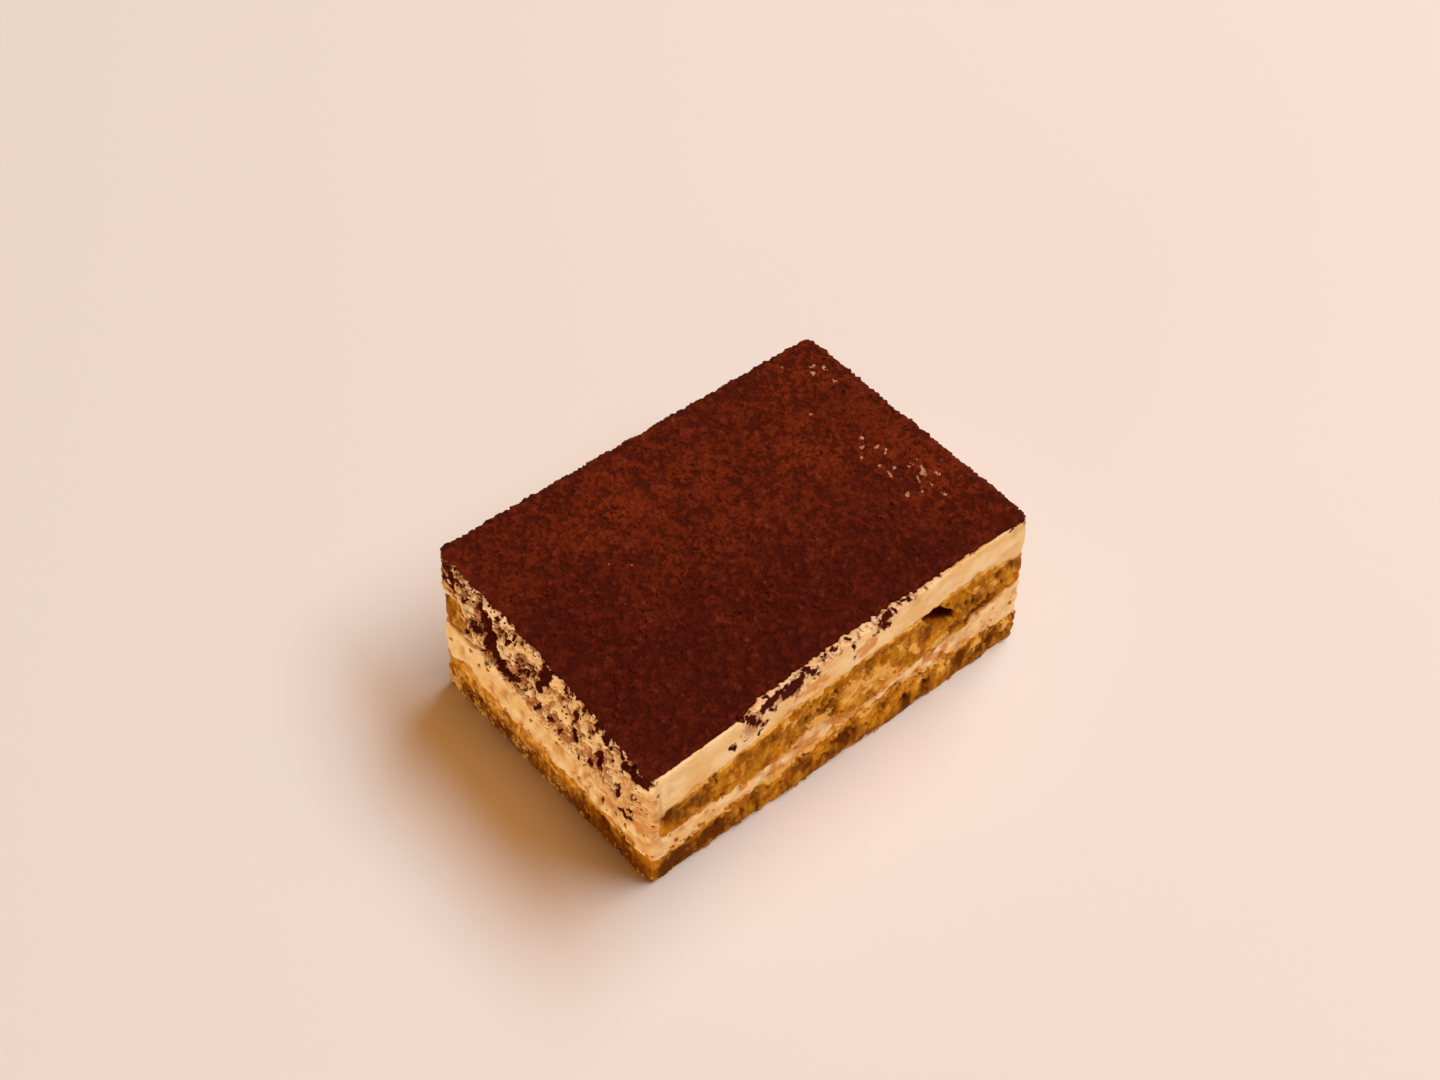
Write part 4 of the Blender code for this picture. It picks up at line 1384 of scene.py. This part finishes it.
class TIRAMISU_OT_cocoa_grains(bpy.types.Operator):
    """Scatters loose grains of cocoa on the top, and flakes on the torn side"""

    bl_idname = "tiramisu.cocoa_grains"
    bl_label = "Cocoa grains"

    def execute(self, context):
        settings = context.scene.tiramisu_portion
        rng = random.Random(settings.seed)
        top = surface_tree("cocoa_cover")
        lumps = []
        while len(lumps) < settings.grain_count:
            start = place(rng.uniform(0.003, 0.997), rng.uniform(0.003, 0.997), 1.2)
            point, *_ = top.ray_cast(start, Vector((0, 0, -1)))
            if point is None or point.z < LOWEST_GRAIN:
                continue
            size = MM * (0.26 + 0.5 * rng.random() ** 2.5)
            lumps.append((lump_matrix(rng, point - Vector((0, 0, size * 0.06)), size), size, 1))
        shape = gather_lumps(lumps)
        marks = add_marks(shape, "crest")
        for vertex in shape.verts:
            # The crest, which sets the painted shade and sheen, varies at random on the grains.
            vertex[marks.crest] = 0.35 + 0.9 * noise.noise(vertex.co / MM / 1.3)
        finish_piece("cocoa_grains", shape, cocoa_material(looks(settings)), "cocoa")
        cream = surface_tree("top_cream")
        lumps = []
        for _ in range(FLAKE_TRIES):
            if len(lumps) >= settings.flake_count:
                break
            start = Vector((-0.06, rng.uniform(-32.5, 33.0) * MM, rng.uniform(19.0, 39.0) * MM))
            point, normal, *_ = cream.ray_cast(start, Vector((1, 0, 0)))
            if point is None or point.x > DEEPEST_FLAKE:
                continue
            near_top = 90 * max(0, point.z - LOWEST_GRAIN)
            wanted = marked(SIDE_STREAKS, *on_short_side(point / MM)) + 0.12 + near_top
            if rng.random() > wanted:
                continue
            size = MM * rng.uniform(0.3, 0.8)
            lumps.append((lump_matrix(rng, point - normal * size * 0.08, size, 0.45, normal), size, 1))
        shape = gather_lumps(lumps)
        finish_piece("cocoa_flakes", shape, cocoa_material(looks(settings)), "cocoa")
        return {"FINISHED"}


# Heights in millimetres that crumbs lie at: the foot, and where the cream meets the sponges.
CRUMB_HEIGHTS = (0.5, 0.8, 1.3, 9.5, 10.5, 11.5, 16.0, 17.5)
# The sides that they lie on: share of the crumbs up to this one, its axis, and its end of that axis.
CRUMB_SIDES = ((0.45, 1, -1), (0.7, 0, -1), (0.85, 1, 1), (1.0, 0, 1))
# Where a crumb's ray starts on either axis, and how far from the middle it may be.
CRUMB_START, CRUMB_REACH = (0.08, 0.06), (0.047, 0.031)


def crumb_ray(rng):
    """A random ray to a place at the portion's sides where a crumb may lie."""
    height = MM * rng.choice(CRUMB_HEIGHTS) * rng.uniform(0.8, 1.2)
    chance = rng.random()
    axis, end = next((axis, end) for share, axis, end in CRUMB_SIDES if chance < share)
    start = Vector((0.0, 0.0, height))
    start[axis] = end * CRUMB_START[axis]
    start[1 - axis] = rng.uniform(-CRUMB_REACH[1 - axis], CRUMB_REACH[1 - axis])
    way = Vector((0.0, 0.0, 0.0))
    way[axis] = -end
    return start, way


class TIRAMISU_OT_crumbs(bpy.types.Operator):
    """Scatters crumbs of sponge over the cut sides and round the base"""

    bl_idname = "tiramisu.crumbs"
    bl_label = "Crumbs"

    def execute(self, context):
        settings = context.scene.tiramisu_portion
        rng = random.Random(settings.seed + 1)
        trees = [surface_tree(name) for name in ("lower_sponge", "middle_cream", "upper_sponge_long")]
        lumps = []
        for _ in range(settings.crumb_count):
            ray = crumb_ray(rng)
            hits = [tree.ray_cast(*ray) for tree in trees]
            hits = [hit for hit in hits if hit[0] is not None]
            if not hits:
                continue
            point, normal, *_ = min(hits, key=lambda hit: hit[3])
            size = MM * rng.uniform(0.35, 1.1)
            lumps.append((lump_matrix(rng, point, size, 0.7, normal), size, 2))
        shape = gather_lumps(lumps)
        marks = add_marks(shape, "pore", "soak")
        for vertex in shape.verts:
            vertex[marks.soak] = 0.45 - 0.03 * vertex.co.z / MM + 0.3 * noise.noise(vertex.co / MM)
            # A little of the pores' darkening: partly painted shade.
            vertex[marks.pore] = 0.2
            vertex.co.z = max(0.0, vertex.co.z)
        finish_piece("sponge_crumbs", shape, sponge_material(looks(settings)), "sponge")
        return {"FINISHED"}


# ---------------------------------------------------------------- stage


# Where the lamps shine to, and on which side in plan the high lamps stand.
LIT = Vector((0.0, 0.0, 0.02))
HIGH_SIDE = Vector((0.946, -0.324, 0.0))
# High lamps: name, height in degrees, distance, watts, colour and size.
HIGH_LAMPS = (
    ("key", 54.5, 4.5, 248.0, (0.54, 0.80, 0.96), (6.0, 1.8)),
    ("warm_overhead", 64.0, 2.0, 27.0, (1.0, 0.5, 0.15), (2.4, 2.4)),
)
# Low strips of light that fill the shaded sides: name, watts, colour and direction.
LOW_LAMPS = (
    ("fill_left", 17.5, (1.0, 0.92, 0.72), (-0.95, -0.26, 0.035)),
    ("fill_front", 2.8, (0.92, 1.0, 1.0), (0.1, -0.99, 0.035)),
)
LOW_LAMP_SIZE, LOW_LAMP_DISTANCE = (1.0, 0.08), 1.6
ROOM_COLOUR, ROOM_STRENGTH = (1.0, 0.386, 0.043, 1.0), 0.17
# The camera: its place, how far it looks down and in which direction, in degrees, and its lens.
EYE = (-0.16222, -0.18925, 0.3316)
LOOK_DOWN, LOOK_ALONG = 49.75, 50.04
LENS, SENSOR = 50.0, 36.0


def add_light(name, energy, colour, size, place_at):
    light = bpy.data.lights.new(name, "AREA")
    light.shape = "ELLIPSE"
    light.size, light.size_y = size
    light.energy = energy
    light.color = colour
    lamp = bpy.data.objects.new(name, light)
    bpy.context.scene.collection.objects.link(lamp)
    lamp.location = place_at
    lamp.rotation_euler = (LIT - place_at).to_track_quat("-Z", "Y").to_euler()


class TIRAMISU_OT_stage(bpy.types.Operator):
    """Sets a plain floor, soft warm light and the camera"""

    bl_idname = "tiramisu.stage"
    bl_label = "Stage"

    def execute(self, context):
        settings = context.scene.tiramisu_portion
        shape = bmesh.new()
        bmesh.ops.create_grid(shape, x_segments=1, y_segments=1, size=3.0)
        mesh = bpy.data.meshes.new("floor")
        shape.to_mesh(mesh)
        shape.free()
        material, _, shader = start_material("pale_floor", 0.9, 0.1)
        shader.inputs["Base Color"].default_value = settings.floor_colour
        mesh.materials.append(material)
        floor = bpy.data.objects.new("floor", mesh)
        context.scene.collection.objects.link(floor)

        world = bpy.data.worlds.new("warm_room")
        world.use_nodes = True
        background = world.node_tree.nodes["Background"]
        background.inputs["Color"].default_value = ROOM_COLOUR
        background.inputs["Strength"].default_value = ROOM_STRENGTH
        context.scene.world = world

        for name, height, distance, energy, colour, size in HIGH_LAMPS:
            height = math.radians(height)
            way = math.cos(height) * HIGH_SIDE + Vector((0.0, 0.0, math.sin(height)))
            add_light(name, energy, colour, size, distance * way)
        for name, energy, colour, way in LOW_LAMPS:
            add_light(name, energy, colour, LOW_LAMP_SIZE, LOW_LAMP_DISTANCE * Vector(way))

        camera = bpy.data.cameras.new("camera")
        camera.lens = LENS
        camera.sensor_width = SENSOR
        eye = bpy.data.objects.new("camera", camera)
        context.scene.collection.objects.link(eye)
        eye.location = EYE
        down, along = math.radians(LOOK_DOWN), math.radians(LOOK_ALONG)
        look = Vector((math.cos(down) * math.cos(along), math.cos(down) * math.sin(along), -math.sin(down)))
        eye.rotation_euler = look.to_track_quat("-Z", "Y").to_euler()
        camera.clip_start = 0.01
        context.scene.camera = eye
        context.scene.view_settings.view_transform = "Standard"
        return {"FINISHED"}


STEPS = (
    TIRAMISU_OT_lower_sponge,
    TIRAMISU_OT_middle_cream,
    TIRAMISU_OT_upper_sponge,
    TIRAMISU_OT_top_cream,
    TIRAMISU_OT_cocoa,
    TIRAMISU_OT_cocoa_grains,
    TIRAMISU_OT_crumbs,
    TIRAMISU_OT_stage,
)


class TIRAMISU_PT_panel(bpy.types.Panel):
    """The portion's settings and steps"""

    bl_idname = "TIRAMISU_PT_panel"
    bl_label = "Tiramisu portion"
    bl_space_type = "VIEW_3D"
    bl_region_type = "UI"
    bl_category = "Tiramisu"

    def draw(self, context):
        settings = context.scene.tiramisu_portion
        for name in settings.__annotations__:
            self.layout.prop(settings, name)
        for step in STEPS:
            self.layout.operator(step.bl_idname)


CLASSES = (TiramisuPortionSettings, *STEPS, TIRAMISU_PT_panel)


def register():
    noise.seed_set(NOISE_SEED)
    for each in CLASSES:
        bpy.utils.register_class(each)
    bpy.types.Scene.tiramisu_portion = bpy.props.PointerProperty(type=TiramisuPortionSettings)


def unregister():
    del bpy.types.Scene.tiramisu_portion
    for each in reversed(CLASSES):
        bpy.utils.unregister_class(each)


def main():
    register()
    for step in STEPS:
        group, name = step.bl_idname.split(".")
        getattr(getattr(bpy.ops, group), name)()


if __name__ == "__main__":
    main()
